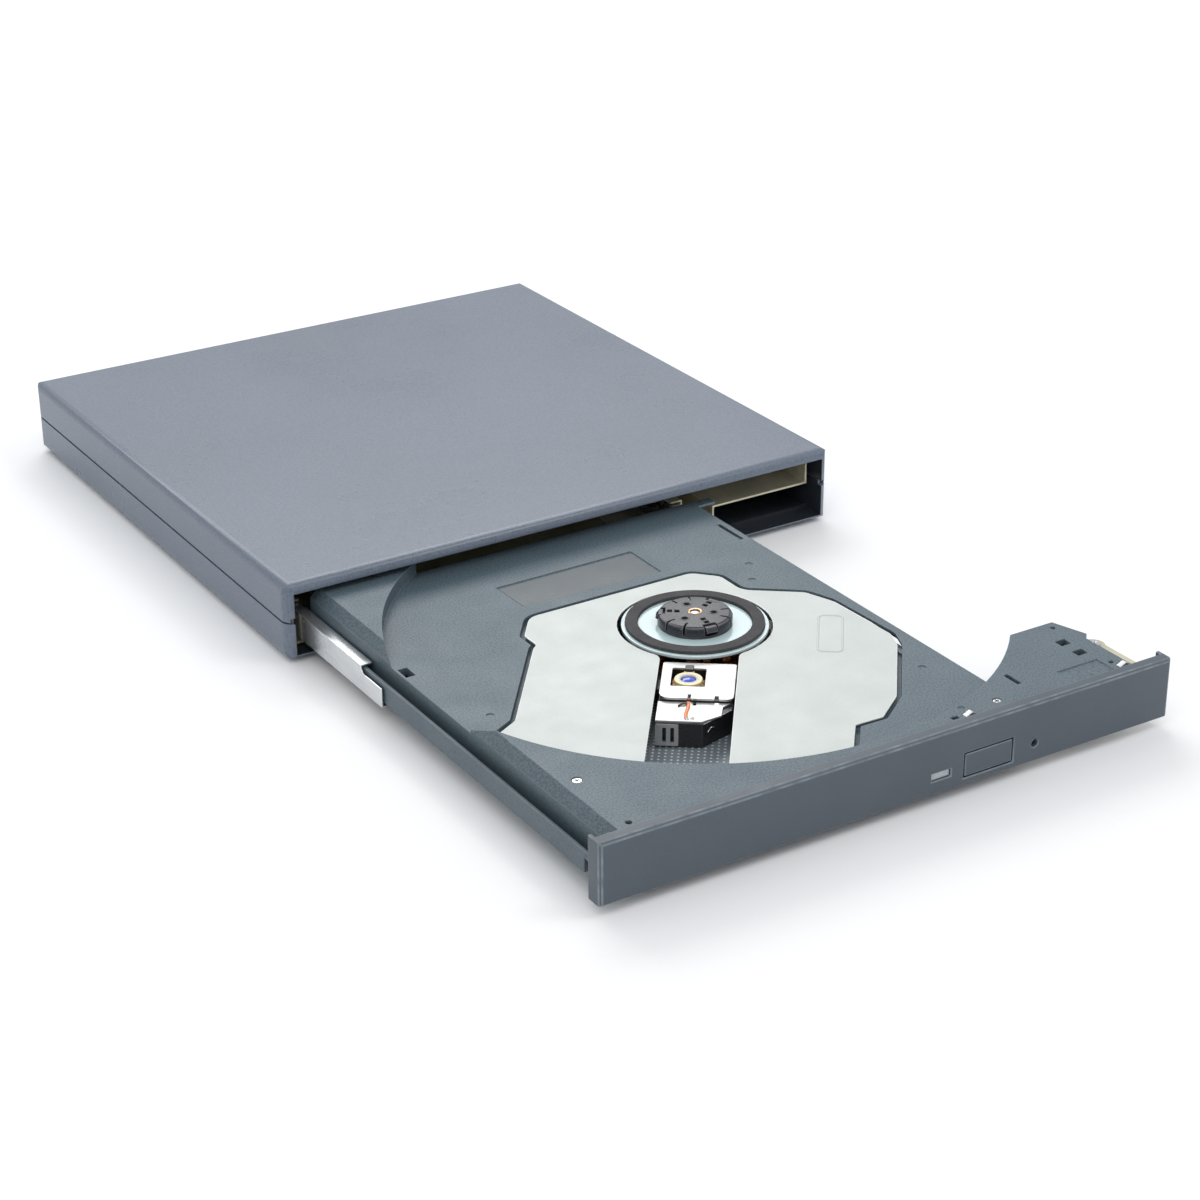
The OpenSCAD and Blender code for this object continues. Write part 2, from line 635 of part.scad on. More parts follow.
module front_board() color([0.05, 0.3, 0.16]) in_tray() span([4.6, 5, 6.2], [26.9, 11.4, 7]);

module eject_switch() color([0.15, 0.15, 0.16]) in_tray() {
    span([17, 6, 2.6], [23, 9.4, 6.2]);
    translate([20, 6.1, 4.2]) rotate([90, 0, 0]) cylinder(r = 0.9, h = 1.1, $fn = 24);
    span([8, 5.6, 3], [10, 7.4, 6.2]);
}

module solenoid() color([0.72, 0.5, 0.26]) in_tray() {
    difference() {
        span([35.4, 5, 7], [44.4, 11.6, 10.1]);
        span([36.2, 4.9, 7.6], [43.6, 11.7, 8]);
    }
    translate([44.3, 8.3, 8.2]) rotate([0, 90, 0]) cylinder(r = 0.7, h = 1.6, $fn = 24);
}

latch_pivot_xy = [50.4, 7.2];
module latch_pivot() color([0.75, 0.75, 0.77]) in_tray() translate(latch_pivot_xy) {
    disc(0.8, 6.95, 10.4);
    disc(1.5, 8.3, 10.4);
}

module latch_hook() color([0.62, 0.63, 0.65]) in_tray() difference() {
    slab(7.3, 8.1, [[46.4, 6.2], [51.4, 5.2], [52.6, 7.2], [52.2, 12], [51, 20.8], [45.6, 20.8], [45.6, 18.6],
        [48.8, 18.4], [49.4, 12], [48.6, 9.6], [46.4, 9]]);
    translate(latch_pivot_xy) disc(0.85, 5, 10);
}

module tray_bottom_cover() color([0.3, 0.31, 0.33]) in_tray()
    span([-58.4, 5, 1.5], [19.6, 82.8, 1.9]);

// Sheet steel plate that closes the wing from below, with a round lug for its screw
wing_lug = [60.5, 18.1];
module wing_plate() color([0.62, 0.56, 0.45]) in_tray() difference() {
    union() {
        slab(wing_under - sheet_t, wing_under, [[54, 5], [62.4, 5], [62.4, 17], [57.4, 23.8], [50.8, 23.8],
            [50.8, 10], [54, 10]]);
        translate(wing_lug) disc(2.4, wing_under - sheet_t, wing_under);
    }
    translate(wing_lug) disc(0.9, 0, 20);
}

module cover_plate() color([0.84, 0.85, 0.82]) in_tray() difference() {
    slab(8.6, floor_top, plate_outline);
    translate([0, spindle_y, 0]) {
        rotate([0, 0, sled_angle]) slab(0, 20, keyhole);
    }
}

// ---------- Mechanism on the traverse ----------

frame_outline = [[-13, -6], [-8, -13], [20, -14], [38, -14], [64, -13], [66.5, -10], [66.5, 11], [62.8, 15],
    [62.5, 20], [6, 20.5], [-6.5, 19.5], [-9, 12], [-13, 6]];

module traverse_frame() color([0.5, 0.51, 0.52]) in_mechanism() difference() {
    union() {
        translate([0, 0, frame_h]) linear_extrude(frame_t) difference() {
            union() {
                polygon(frame_outline);
                for (p = damper_spots) {
                    translate(p) circle(r = 3.9);
                    translate([p[0] - 3.9, min(p[1], 0.6 * p[1])]) square([7.8, abs(0.4 * p[1])]);
                }
            }
            // The frame is open at its outer end, so that the sled can run out past it
            polygon([[12.5, -6.9], [80, -6.9], [80, 10.6], [12.5, 10.6]]);
            // Notch for the feed motor
            polygon([[-5, screw_t - 2.5], [5.1, screw_t - 2.5], [5.1, 30], [-5, 30]]);
        }
        // Stands that hold the ends of the rods and the lead screw
        for (s = [4.4, 60.2]) span([s, main_rod_t - 2, frame_h], [s + 2.6, main_rod_t + 1.9, 6.6]);
        for (s = [9.6, 60.2]) span([s, side_rod_t - 2, frame_h], [s + 2.6, side_rod_t + 2, 6.6]);
        span([60.6, screw_t - 2.1, frame_h], [62.2, screw_t + 2.1, 6.8]);
    }
    for (p = damper_spots) translate(p) disc(2.35, 0, 6);
    translate([0, main_rod_t, rod_h]) rotate([0, 90, 0]) cylinder(r = rod_r, h = 80);
    translate([0, side_rod_t, rod_h]) rotate([0, 90, 0]) cylinder(r = rod_r, h = 80);
    translate([0, screw_t, rod_h]) rotate([0, 90, 0]) cylinder(r = 0.65, h = 80);
}

module rubber_dampers() color([0.1, 0.1, 0.1]) in_mechanism()
    for (p = damper_spots) translate(p) rotate_extrude() polygon([
        [1.1, 2.05], [3.2, 2.05], [3.2, frame_h], [2.35, frame_h], [2.35, frame_h + frame_t],
        [3.2, frame_h + frame_t], [3.2, 4.25], [1.1, 4.25]]);

module damper_screws() color([0.45, 0.45, 0.47]) in_mechanism()
    for (p = damper_spots) translate([p[0], p[1], 2.05]) screw_up(1.9, 0.15, 0.8, 4.4);

module motor_stator() color([0.62, 0.42, 0.22]) in_mechanism() {
    disc(11.6, frame_h + frame_t, 4);
    difference() {
        disc(3.4, 3.9, 7);
        disc(shaft_r + rod_fit, 4.2, 8);
    }
    // Nine wound teeth
    for (i = [0 : 8]) rotate([0, 0, i * 40]) {
        span([3, -1, 5], [10.6, 1, 6.2]);
        span([4.4, -1.3, 4.6], [8.6, 1.3, 6.6]);
    }
    for (i = [0 : 2]) rotate([0, 0, i * 120 + 20]) span([7, -0.8, 3.9], [8.4, 0.8, 5.1]);
}

module rod(t, s0, s1) {
    translate([s0, t, rod_h]) rotate([0, 90, 0]) cylinder(r = rod_r, h = s1 - s0);
}
module guide_rod_main() color([0.85, 0.86, 0.87]) in_mechanism() rod(main_rod_t, 4.4, 62.8);
module guide_rod_side() color([0.85, 0.86, 0.87]) in_mechanism() rod(side_rod_t, 9.6, 62.8);

module feed_motor() color([0.66, 0.66, 0.67]) in_mechanism() difference() {
    union() {
        translate([-4.5, screw_t, rod_h]) rotate([0, 90, 0]) cylinder(r = 2.2, h = 9.5);
        span([-4, screw_t - 2.2, frame_h], [4.2, screw_t + 2.4, 6.4]);
    }
    translate([-2, screw_t, rod_h]) rotate([0, 90, 0]) cylinder(r = 0.7, h = 20);
}

module lead_screw() color([0.8, 0.8, 0.82]) in_mechanism() {
    translate([5.6, screw_t, rod_h]) rotate([0, 90, 0]) cylinder(r = screw_r, h = 54.7);
    translate([-1.5, screw_t, rod_h]) rotate([0, 90, 0]) cylinder(r = 0.6, h = 63.6);
}

// ---------- Turntable and chuck ----------

module turntable() color([0.75, 0.86, 0.86]) in_mechanism() rotate_extrude($fn = 96) polygon([
    [0, 4.4], [shaft_r, 4.4], [shaft_r, 7.3], [12.4, 7.3], [12.4, 8.5], [platter_r, 8.5],
    [platter_r, platter_top], [ring_r, platter_top], [ring_r, platter_top - ring_seat],
    [ring_r0, platter_top - ring_seat], [ring_r0, platter_top], [0, platter_top]]);

module rubber_ring() color([0.14, 0.14, 0.15]) in_mechanism() difference() {
    disc(ring_r, platter_top - ring_seat, ring_top, $fn = 96);
    disc(ring_r0, 0, 20, $fn = 96);
}

module clamp_hub() color([0.06, 0.06, 0.07]) in_mechanism() rotate([0, 0, chuck_angle]) difference() {
    rotate_extrude($fn = 96) polygon([[shaft_r, platter_top], [hub_r, platter_top],
        [hub_r, 9.3], [hub_r - 0.2, 9.35], [hub_r - 0.2, 9.5], [hub_r, 9.55], [hub_r, 11.1],
        [hub_r - 0.25, 11.5], [hub_r - 0.8, hub_top], [shaft_r, hub_top]]);
    for (i = [0 : 2]) rotate([0, 0, i * 120]) {
        // Pocket for a clamping claw and its spring, under the hub's top, and the claw's notch in the rim
        span([3, -claw_w / 2 - claw_gap, 9.7], [10, claw_w / 2 + claw_gap, claw_roof + 0.1]);
        span([5.9, -claw_w / 2 - claw_gap, 9.7], [10, claw_w / 2 + claw_gap, 20]);
        // Two windows through which the spring shows
        for (x = [3.1, 4.55]) span([x, -0.55, 9.7], [x + 1, 0.55, 20]);
        // Cuts that free a centring finger
        for (a = [44, 76]) rotate([0, 0, a]) span([5.2, -0.2, 9.7], [10, 0.2, 20]);
        rotate([0, 0, 60]) translate([3.7, 0, 0]) disc(0.6, 10.6, 20);
    }
}

// Level of the part of a claw that slides under the hub's top
claw_roof = 11;
module clamp_claw(i) {
    rotate([0, 0, i * 120 + chuck_angle]) translate([0, claw_w / 2, 0]) rotate([90, 0, 0])
        linear_extrude(claw_w) polygon(
            [[4.7, 10], [7.1, 10], [7.85, 10.6], [7.2, 11.5], [6.4, 11.5], [6.4, claw_roof],
                [4.7, claw_roof]]);
}
module clamp_claw_1() color([0.09, 0.09, 0.1]) in_mechanism() clamp_claw(0);
module clamp_claw_2() color([0.09, 0.09, 0.1]) in_mechanism() clamp_claw(1);
module clamp_claw_3() color([0.09, 0.09, 0.1]) in_mechanism() clamp_claw(2);

// A short spring behind each claw, as a tube
module claw_springs() color([0.75, 0.75, 0.77]) in_mechanism()
    for (i = [0 : 2]) rotate([0, 0, i * 120 + chuck_angle]) translate([3.05, 0, 10.4]) rotate([0, 90, 0])
        difference() {
            cylinder(r = 0.6, h = 1.15, $fn = 24);
            translate([0, 0, -1]) cylinder(r = 0.35, h = 4, $fn = 24);
        }

// ---------- Optical sled ----------

lens_pocket = [lens_s - 4.6, lens_s + 3.6, -3.6, 3.6];

// Outline of the sled's housing, whose outer right corner is cut off, and its levels
sled_end = 38.2;
sled_left = -5.3;
sled_right = 8.9;
sled_under = 2.1;
shelf_top = 7.1;
block_top = 7.8;
metal_t = 0.4;
cover_s = [15.5, 30.2];

module sled_body() color([0.07, 0.07, 0.08]) in_mechanism() difference() {
    union() {
        slab(sled_under, shelf_top, [[16.2, sled_left], [sled_end, sled_left], [sled_end, 3.6],
            [31.8, sled_right], [16.2, sled_right]]);
        span([15.6, sled_left + 0.4, 5], [30, sled_right - 0.3, block_top]);
        // Bearing arms around the main rod
        for (s = [15.5, 21.4]) span([s, 8.4, 3.7], [s + 3.4, main_rod_t + 1.9, 6.7]);
        span([15.5, 8.4, 3.7], [24.8, 10.4, 5.9]);
        // Single bearing on the side rod
        span([20, side_rod_t - 1.9, 3.7], [24, sled_left + 0.1, 6.7]);
        // Half nut beside the lead screw
        span([21.4, main_rod_t + 1.8, 4.1], [24.8, screw_t - screw_r - 0.3, 5.9]);
    }
    translate([0, main_rod_t, rod_h]) rotate([0, 90, 0]) cylinder(r = rod_r + rod_fit, h = 80);
    translate([0, side_rod_t, rod_h]) rotate([0, 90, 0]) cylinder(r = rod_r + rod_fit, h = 80);
    // Pocket for the lens holder
    span([lens_pocket[0], lens_pocket[2], 4.2], [lens_pocket[1], lens_pocket[3], 20]);
    // Recess in the end face
    span([sled_end - 0.8, -4.4, 2.9], [40, -1.4, 6.3]);
    // Nothing may reach the motor
    disc(13, 0, 4.4);
}

module sled_cover() color([0.78, 0.78, 0.79]) in_mechanism() difference() {
    slab(block_top, block_top + metal_t, [[cover_s[0], -4.7], [cover_s[0] + 0.5, -5.2],
        [cover_s[1] - 1.4, -5.2], [cover_s[1], -3.8], [cover_s[1], 7.4], [cover_s[1] - 1.6, 9],
        [cover_s[0] + 0.5, 9], [cover_s[0], 8.5]]);
    span([lens_pocket[0] + 0.3, lens_pocket[2] + 0.3, 0], [lens_pocket[1] - 0.3, lens_pocket[3] - 0.3, 20]);
}

module sled_plate() color([0.76, 0.76, 0.77]) in_mechanism() difference() {
    slab(shelf_top, shelf_top + metal_t, [[30.3, sled_left], [sled_end - 0.2, sled_left],
        [sled_end - 0.2, 3.4], [35.2, 7], [31.9, 7.1], [30.3, 8.4]]);
    span([29, 1.4, 0], [31.6, 2, 20]);
}

module laser_flex() color([0.85, 0.38, 0.1]) in_mechanism() {
    span([31.4, 0.1, shelf_top + metal_t], [37.2, 0.9, shelf_top + metal_t + 0.2]);
    span([31.4, -1.2, shelf_top + metal_t], [32.1, 0.2, shelf_top + metal_t + 0.2]);
}

// The holder hangs on fine wires, so it floats clear of the housing
module lens_holder() color([0.86, 0.74, 0.45]) in_mechanism() difference() {
    union() {
        translate([lens_s, 0, 0]) disc(2.75, 5.6, 8.2);
        span([lens_s - 3.6, -1, 5.8], [lens_s - 2.2, 1, 8]);
        span([lens_s - 1, -3, 5.8], [lens_s + 1, 3, 7.2]);
    }
    translate([lens_s, 0, 0]) disc(1.75, 6.9, 20);
    translate([lens_s, 0, 0]) disc(1.2, 0, 20);
}

module objective_lens() color([0.25, 0.35, 0.9]) in_mechanism() translate([lens_s, 0, 6.9])
    rotate_extrude() polygon(concat([[0, 0], [1.7, 0], [1.7, 0.7]],
        [for (a = [0 : 15 : 90]) [1.45 * cos(a), 0.7 + 0.65 * sin(a)]]));

// ---------- Assembly ----------

top_cover();
bottom_shell();
rubber_feet();
case_screws();
bridge_board();
bridge_chip();
board_components();
usb_socket();
dc_jack();
board_connector();
drive_connector();
drive_chassis();
drive_lid();
lid_screws();
outer_rail_left();
outer_rail_right();
main_board();
main_board_chips();
latch_post();
eject_spring();
flex_cable_fixed();
flex_cable_loop();
flex_cable_tray();
middle_rail_left();
middle_rail_right();
eject_pusher();
tray();
bezel();
light_pipe();
eject_button();
front_board();
eject_switch();
solenoid();
latch_hook();
latch_pivot();
tray_bottom_cover();
wing_plate();
cover_plate();
traverse_frame();
rubber_dampers();
damper_screws();
motor_stator();
guide_rod_main();
guide_rod_side();
feed_motor();
lead_screw();
turntable();
rubber_ring();
clamp_hub();
clamp_claw_1();
clamp_claw_2();
clamp_claw_3();
claw_springs();
sled_body();
sled_cover();
sled_plate();
laser_flex();
lens_holder();
objective_lens();
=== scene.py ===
"""Looks of the external optical drive: mouldings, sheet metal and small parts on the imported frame."""
import json
import math

import bmesh
import bpy
from mathutils import Matrix, Vector


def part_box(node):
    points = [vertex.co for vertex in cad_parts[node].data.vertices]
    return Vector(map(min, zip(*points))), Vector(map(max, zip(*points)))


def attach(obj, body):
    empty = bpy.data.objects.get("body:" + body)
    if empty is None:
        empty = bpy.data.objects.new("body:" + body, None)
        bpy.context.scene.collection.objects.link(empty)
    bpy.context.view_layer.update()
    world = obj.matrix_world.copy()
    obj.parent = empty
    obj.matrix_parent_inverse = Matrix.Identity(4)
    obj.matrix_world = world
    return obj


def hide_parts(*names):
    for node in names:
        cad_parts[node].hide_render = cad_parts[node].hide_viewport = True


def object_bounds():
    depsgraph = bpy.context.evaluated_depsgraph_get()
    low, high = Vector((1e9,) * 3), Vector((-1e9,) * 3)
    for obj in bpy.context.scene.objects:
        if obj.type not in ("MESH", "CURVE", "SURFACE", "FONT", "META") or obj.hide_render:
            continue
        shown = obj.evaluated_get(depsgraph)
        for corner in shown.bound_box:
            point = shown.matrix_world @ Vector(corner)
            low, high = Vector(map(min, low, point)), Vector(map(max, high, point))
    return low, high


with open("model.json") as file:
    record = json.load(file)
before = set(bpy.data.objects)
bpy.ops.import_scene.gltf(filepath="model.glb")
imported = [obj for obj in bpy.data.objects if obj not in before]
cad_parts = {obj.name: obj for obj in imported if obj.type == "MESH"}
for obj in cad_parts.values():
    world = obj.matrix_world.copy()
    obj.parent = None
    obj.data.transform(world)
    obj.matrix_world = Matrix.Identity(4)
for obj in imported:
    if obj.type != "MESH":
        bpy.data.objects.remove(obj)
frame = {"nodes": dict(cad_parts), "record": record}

CAD_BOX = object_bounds()
MM = 0.001
SHARP_ANGLE = 32.0
BEVEL_SEGMENTS = 2
BODY_OF = {n: b for b, nodes in frame["record"]["behaviour"]["bodies"].items() for n in nodes}

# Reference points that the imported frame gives
HUB_LOW, HUB_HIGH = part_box("turntable")
SPINDLE = Vector(((HUB_LOW.x + HUB_HIGH.x) / 2, (HUB_LOW.y + HUB_HIGH.y) / 2, 0))
PLATE_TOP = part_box("cover_plate")[1].z
DRIVE_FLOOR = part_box("drive_chassis")[0].z

# Directions along and across the sled's path, and places on the mechanism in millimetres
PATH = Vector((-0.6, -0.8, 0))
ACROSS = Vector((0.8, -0.6, 0))
LENS_S = 22
SCREW_T = 17.2
SCREW_H = 5

# Camera: focal length, azimuth, elevation and roll in degrees, and place in metres
LENS_MM = 80.84
CAMERA_TURN = (-31.635, 25.68, -0.42)
CAMERA_PLACE = (-0.26755, -0.45616, 0.24721)


def mech(s, t, h):
    """A point of the mechanism in metres.

    In millimetres, s runs along the sled's path, t across it and h above the drive's floor.
    """
    return SPINDLE + (PATH * s + ACROSS * t) * MM + Vector((0, 0, DRIVE_FLOOR + h * MM))


# ---------------------------------------------------------------- camera, light and floor

def camera():
    data = bpy.data.cameras.new("Camera")
    data.sensor_fit = "HORIZONTAL"
    data.sensor_width = 36
    data.lens = LENS_MM
    data.clip_start = 0.01
    cam = bpy.data.objects.new("Camera", data)
    bpy.context.scene.collection.objects.link(cam)
    az, el, roll = (math.radians(v) for v in CAMERA_TURN)
    back = Vector((math.sin(az) * math.cos(el), -math.cos(az) * math.cos(el), math.sin(el)))
    right = (-back).cross(Vector((0, 0, 1))).normalized()
    up = right.cross(-back)
    r2 = right * math.cos(roll) + up * math.sin(roll)
    u2 = up * math.cos(roll) - right * math.sin(roll)
    m = Matrix((r2, u2, back)).transposed().to_4x4()
    m.translation = Vector(CAMERA_PLACE)
    cam.matrix_world = m
    bpy.context.scene.camera = cam


def area_light(name, place, aim, size, power):
    data = bpy.data.lights.new(name, "AREA")
    data.shape = "RECTANGLE"
    data.size, data.size_y = size
    data.energy = power
    ob = bpy.data.objects.new(name, data)
    bpy.context.scene.collection.objects.link(ob)
    ob.location = place
    ob.rotation_euler = (Vector(aim) - Vector(place)).to_track_quat("-Z", "Y").to_euler()


def studio():
    scene = bpy.context.scene
    scene.view_settings.view_transform = "Standard"
    world = bpy.data.worlds.new("Studio")
    world.use_nodes = True
    world.node_tree.nodes["Background"].inputs["Color"].default_value = (0.95, 0.97, 1.0, 1)
    world.node_tree.nodes["Background"].inputs["Strength"].default_value = 0.78
    scene.world = world
    area_light("Key", (-0.5, -0.6, 0.9), (0, -0.02, 0), (0.7, 0.7), 2.2)
    area_light("Back", (0.2, 0.85, 0.75), (0, 0, 0), (1.0, 0.5), 5.0)
    area_light("Edge", (0.56, -0.52, 0.92), (0, 0, 0), (0.35, 0.25), 1.4)
    mesh = bpy.data.meshes.new("floor")
    bm = bmesh.new()
    bmesh.ops.create_grid(bm, x_segments=8, y_segments=8, size=6)
    bm.to_mesh(mesh)
    bm.free()
    floor = bpy.data.objects.new("floor", mesh)
    scene.collection.objects.link(floor)
    mat, nt, bsdf = new_material("floor_paper")
    bsdf.inputs["Roughness"].default_value = 0.9
    noise = node(nt, "ShaderNodeTexNoise", {"Vector": coords(nt), "Scale": 900.0, "Detail": 3.0})
    tone = mix(nt, noise.outputs["Fac"], (0.93, 0.93, 0.93), (0.95, 0.95, 0.95))
    nt.links.new(tone, bsdf.inputs["Base Color"])
    floor.data.materials.append(mat)


# ---------------------------------------------------------------- material nodes

def new_material(name):
    mat = bpy.data.materials.new(name)
    mat.use_nodes = True
    return mat, mat.node_tree, mat.node_tree.nodes["Principled BSDF"]


def node(nt, kind, inputs=None, **props):
    n = nt.nodes.new(kind)
    for k, v in props.items():
        setattr(n, k, v)
    for k, v in (inputs or {}).items():
        if isinstance(v, bpy.types.NodeSocket):
            nt.links.new(v, n.inputs[k])
        else:
            n.inputs[k].default_value = v
    return n


def coords(nt, stretch=None):
    """The piece's own coordinates in metres, stretched by a factor along each axis."""
    out = node(nt, "ShaderNodeTexCoord").outputs["Object"]
    if stretch:
        out = node(nt, "ShaderNodeVectorMath", {0: out, 1: stretch}, operation="MULTIPLY").outputs[0]
    return out


def mix(nt, factor, a, b):
    n = node(nt, "ShaderNodeMix", data_type="RGBA")
    for socket, v in ((n.inputs[0], factor), (n.inputs[6], a), (n.inputs[7], b)):
        if isinstance(v, bpy.types.NodeSocket):
            nt.links.new(v, socket)
        elif isinstance(v, (int, float)):
            socket.default_value = v
        else:
            socket.default_value = (*v, 1)
    return n.outputs[2]


def maths(nt, operation, a, b=0.0, c=0.0):
    return node(nt, "ShaderNodeMath", {0: a, 1: b, 2: c}, operation=operation).outputs[0]


def remap(nt, value, low, high, to_low, to_high):
    return node(nt, "ShaderNodeMapRange", {
        "Value": value, "From Min": low, "From Max": high, "To Min": to_low, "To Max": to_high}).outputs[0]


def grain(nt, size_mm, detail=3.0, stretch=None):
    return node(nt, "ShaderNodeTexNoise", {
        "Vector": coords(nt, stretch), "Scale": 1000.0 / size_mm, "Detail": detail,
        "Roughness": 0.55}).outputs["Fac"]


def edge_mask(nt, amount):
    """Where edges are lightened, partly for wear and partly as a painted highlight: the softened edges,
    broken up by noise.
    """
    att = node(nt, "ShaderNodeAttribute", attribute_name="edge").outputs["Fac"]
    patchy = remap(nt, grain(nt, 2.5, 4.0), 0.35, 0.7, 0.35, 1.0)
    return maths(nt, "MULTIPLY", maths(nt, "MULTIPLY", att, patchy), amount)


def surface(name, colour, rough, metallic=0.0, tone=0.08, tone_mm=18.0, speck=0.06, speck_mm=0.35,
            grain_mm=0.35, depth_mm=0.012, rough_by=0.06, wear_and_highlight=None, wear_and_highlight_by=0.5, stretch=None,
            coat=0.0, specular=0.5, dent_mm=0.0, pattern=None, clear=0.0):
    """A material with a broad tone, fine speckle, grain in relief, varied roughness and edges lightened
    partly for wear and partly as a painted highlight.
    """
    mat, nt, bsdf = new_material(name)
    low = tuple(c * (1 - tone) for c in colour)
    high = tuple(min(1, c * (1 + tone)) for c in colour)
    base = mix(nt, remap(nt, grain(nt, tone_mm, 4.0), 0.3, 0.7, 0, 1), low, high)
    fine = grain(nt, speck_mm, 2.0, stretch)
    base = mix(nt, remap(nt, fine, 0.35, 0.75, 0, speck), base, tuple(min(1, c * 2.2 + 0.02) for c in colour))
    base = mix(nt, remap(nt, fine, 0.5, 0.25, 0, speck), base, tuple(c * 0.35 for c in colour))
    height = grain(nt, grain_mm, 3.0, stretch)
    if pattern:
        base, height = pattern(nt, base, height)
    # Lighter bevelled edges: partly wear, partly a painted highlight.
    if wear_and_highlight:
        base = mix(nt, edge_mask(nt, wear_and_highlight_by), base, wear_and_highlight)
    nt.links.new(base, bsdf.inputs["Base Color"])
    varied = remap(nt, grain(nt, tone_mm * 0.6, 5.0), 0.3, 0.7, rough - rough_by, rough + rough_by)
    nt.links.new(varied, bsdf.inputs["Roughness"])
    bump = node(nt, "ShaderNodeBump", {"Height": height, "Distance": depth_mm * MM, "Strength": 1.0})
    if dent_mm:
        bump = node(nt, "ShaderNodeBump", {
            "Height": grain(nt, 30.0, 1.0), "Distance": dent_mm * MM, "Strength": 1.0,
            "Normal": bump.outputs[0]})
    nt.links.new(bump.outputs[0], bsdf.inputs["Normal"])
    bsdf.inputs["Metallic"].default_value = metallic
    bsdf.inputs["Coat Weight"].default_value = coat
    bsdf.inputs["Specular IOR Level"].default_value = specular
    bsdf.inputs["Transmission Weight"].default_value = clear
    return mat


def axis_value(nt, axis):
    sep = node(nt, "ShaderNodeSeparateXYZ", {"Vector": coords(nt)})
    return sep.outputs[axis]


def stripes(nt, axis, pitch_mm, share):
    """1 on stripes across an axis, 0 between them."""
    phase = maths(nt, "FRACT", maths(nt, "MULTIPLY", axis_value(nt, axis), 1000.0 / pitch_mm))
    return maths(nt, "LESS_THAN", phase, share)


def case_interior_shade(nt, base, height):
    """Painted shade: the faces inside the shells are darkened almost to black, where shade fills the hollow
    case.
    """
    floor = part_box("bottom_shell")[0].z + 1.05 * MM
    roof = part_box("top_cover")[1].z - 2.1 * MM
    wall = 1.9 * MM
    z = axis_value(nt, 2)
    interior_shade = maths(nt, "MULTIPLY", maths(nt, "GREATER_THAN", z, floor), maths(nt, "LESS_THAN", z, roof))
    side = maths(nt, "LESS_THAN", maths(nt, "ABSOLUTE", axis_value(nt, 0)), CAD_BOX[1].x - wall)
    back = maths(nt, "LESS_THAN", axis_value(nt, 1), CAD_BOX[1].y - wall)
    interior_shade = maths(nt, "MULTIPLY", maths(nt, "MULTIPLY", interior_shade, side), back)
    # Painted shade over the inside faces of the shells.
    return mix(nt, maths(nt, "MULTIPLY", interior_shade, 0.85), base, (0.004, 0.004, 0.005)), height


def tray_zones(nt, base, height):
    """The rail on the left is smooth, and the sloping edge beside it coarser and darker than the deck."""
    rail_x, slope_left, slope_right = -59.7 * MM, -59.75 * MM, -57.85 * MM
    x = axis_value(nt, 0)
    ledge = maths(nt, "LESS_THAN", x, rail_x)
    strip = maths(nt, "MULTIPLY", maths(nt, "GREATER_THAN", x, slope_left),
                  maths(nt, "LESS_THAN", x, slope_right))
    raised = maths(nt, "GREATER_THAN", axis_value(nt, 2), DRIVE_FLOOR + 9.3 * MM)
    strip = maths(nt, "MULTIPLY", strip, raised)
    base = mix(nt, maths(nt, "MULTIPLY", ledge, 0.5), base, (0.06, 0.085, 0.1))
    base = mix(nt, maths(nt, "MULTIPLY", strip, 0.6), base, (0.032, 0.058, 0.07))
    coarse = node(nt, "ShaderNodeTexVoronoi", {"Vector": coords(nt), "Scale": 1900.0}).outputs["Distance"]
    height = maths(nt, "MULTIPLY_ADD", maths(nt, "MULTIPLY", coarse, strip), 1.8, height)
    height = maths(nt, "MULTIPLY", height, maths(nt, "MULTIPLY_ADD", ledge, -0.8, 1.0))
    flecks = maths(nt, "MULTIPLY", strip, remap(nt, coarse, 0.2, 0.7, 0.0, 0.35))
    return mix(nt, flecks, base, (0.16, 0.2, 0.22)), height


def dot_grid(nt, base, height):
    """Fine pale dots on a regular grid, turned to lie along the sled's path."""
    turned = node(nt, "ShaderNodeVectorRotate", {"Vector": coords(nt), "Angle": math.radians(37)},
                  rotation_type="Z_AXIS")
    flat = node(nt, "ShaderNodeVectorMath", {0: turned.outputs[0], 1: (1, 1, 0)}, operation="MULTIPLY")
    cell = node(nt, "ShaderNodeTexVoronoi", {
        "Vector": flat.outputs[0], "Scale": 820.0, "Randomness": 0.0}, voronoi_dimensions="2D")
    dot = remap(nt, cell.outputs["Distance"], 0.24, 0.15, 0, 1)
    return mix(nt, dot, base, (0.7, 0.76, 0.8)), maths(nt, "MULTIPLY_ADD", dot, 2.0, height)


def board_traces(nt, base, height):
    """Copper tracks that show through the solder mask, in two directions by area, and pads."""
    run_x, run_y = stripes(nt, 0, 0.9, 0.4), stripes(nt, 1, 0.9, 0.4)
    cells = node(nt, "ShaderNodeTexVoronoi", {"Vector": coords(nt), "Scale": 160.0})
    pick = node(nt, "ShaderNodeSeparateColor", {"Color": cells.outputs["Color"]})
    choose = maths(nt, "GREATER_THAN", pick.outputs[0], 0.5)
    tracks = maths(nt, "ADD", maths(nt, "MULTIPLY", run_x, choose),
                   maths(nt, "MULTIPLY", run_y, maths(nt, "SUBTRACT", 1.0, choose)))
    some = maths(nt, "GREATER_THAN", pick.outputs[1], 0.35)
    tracks = maths(nt, "MULTIPLY", tracks, some)
    pads = maths(nt, "LESS_THAN", node(nt, "ShaderNodeTexVoronoi", {
        "Vector": coords(nt), "Scale": 330.0, "Randomness": 0.6}).outputs["Distance"], 0.14)
    base = mix(nt, maths(nt, "MULTIPLY", tracks, 0.5), base, (0.06, 0.3, 0.14))
    base = mix(nt, pads, base, (0.62, 0.6, 0.5))
    return base, maths(nt, "ADD", height, maths(nt, "MULTIPLY", tracks, 1.5))


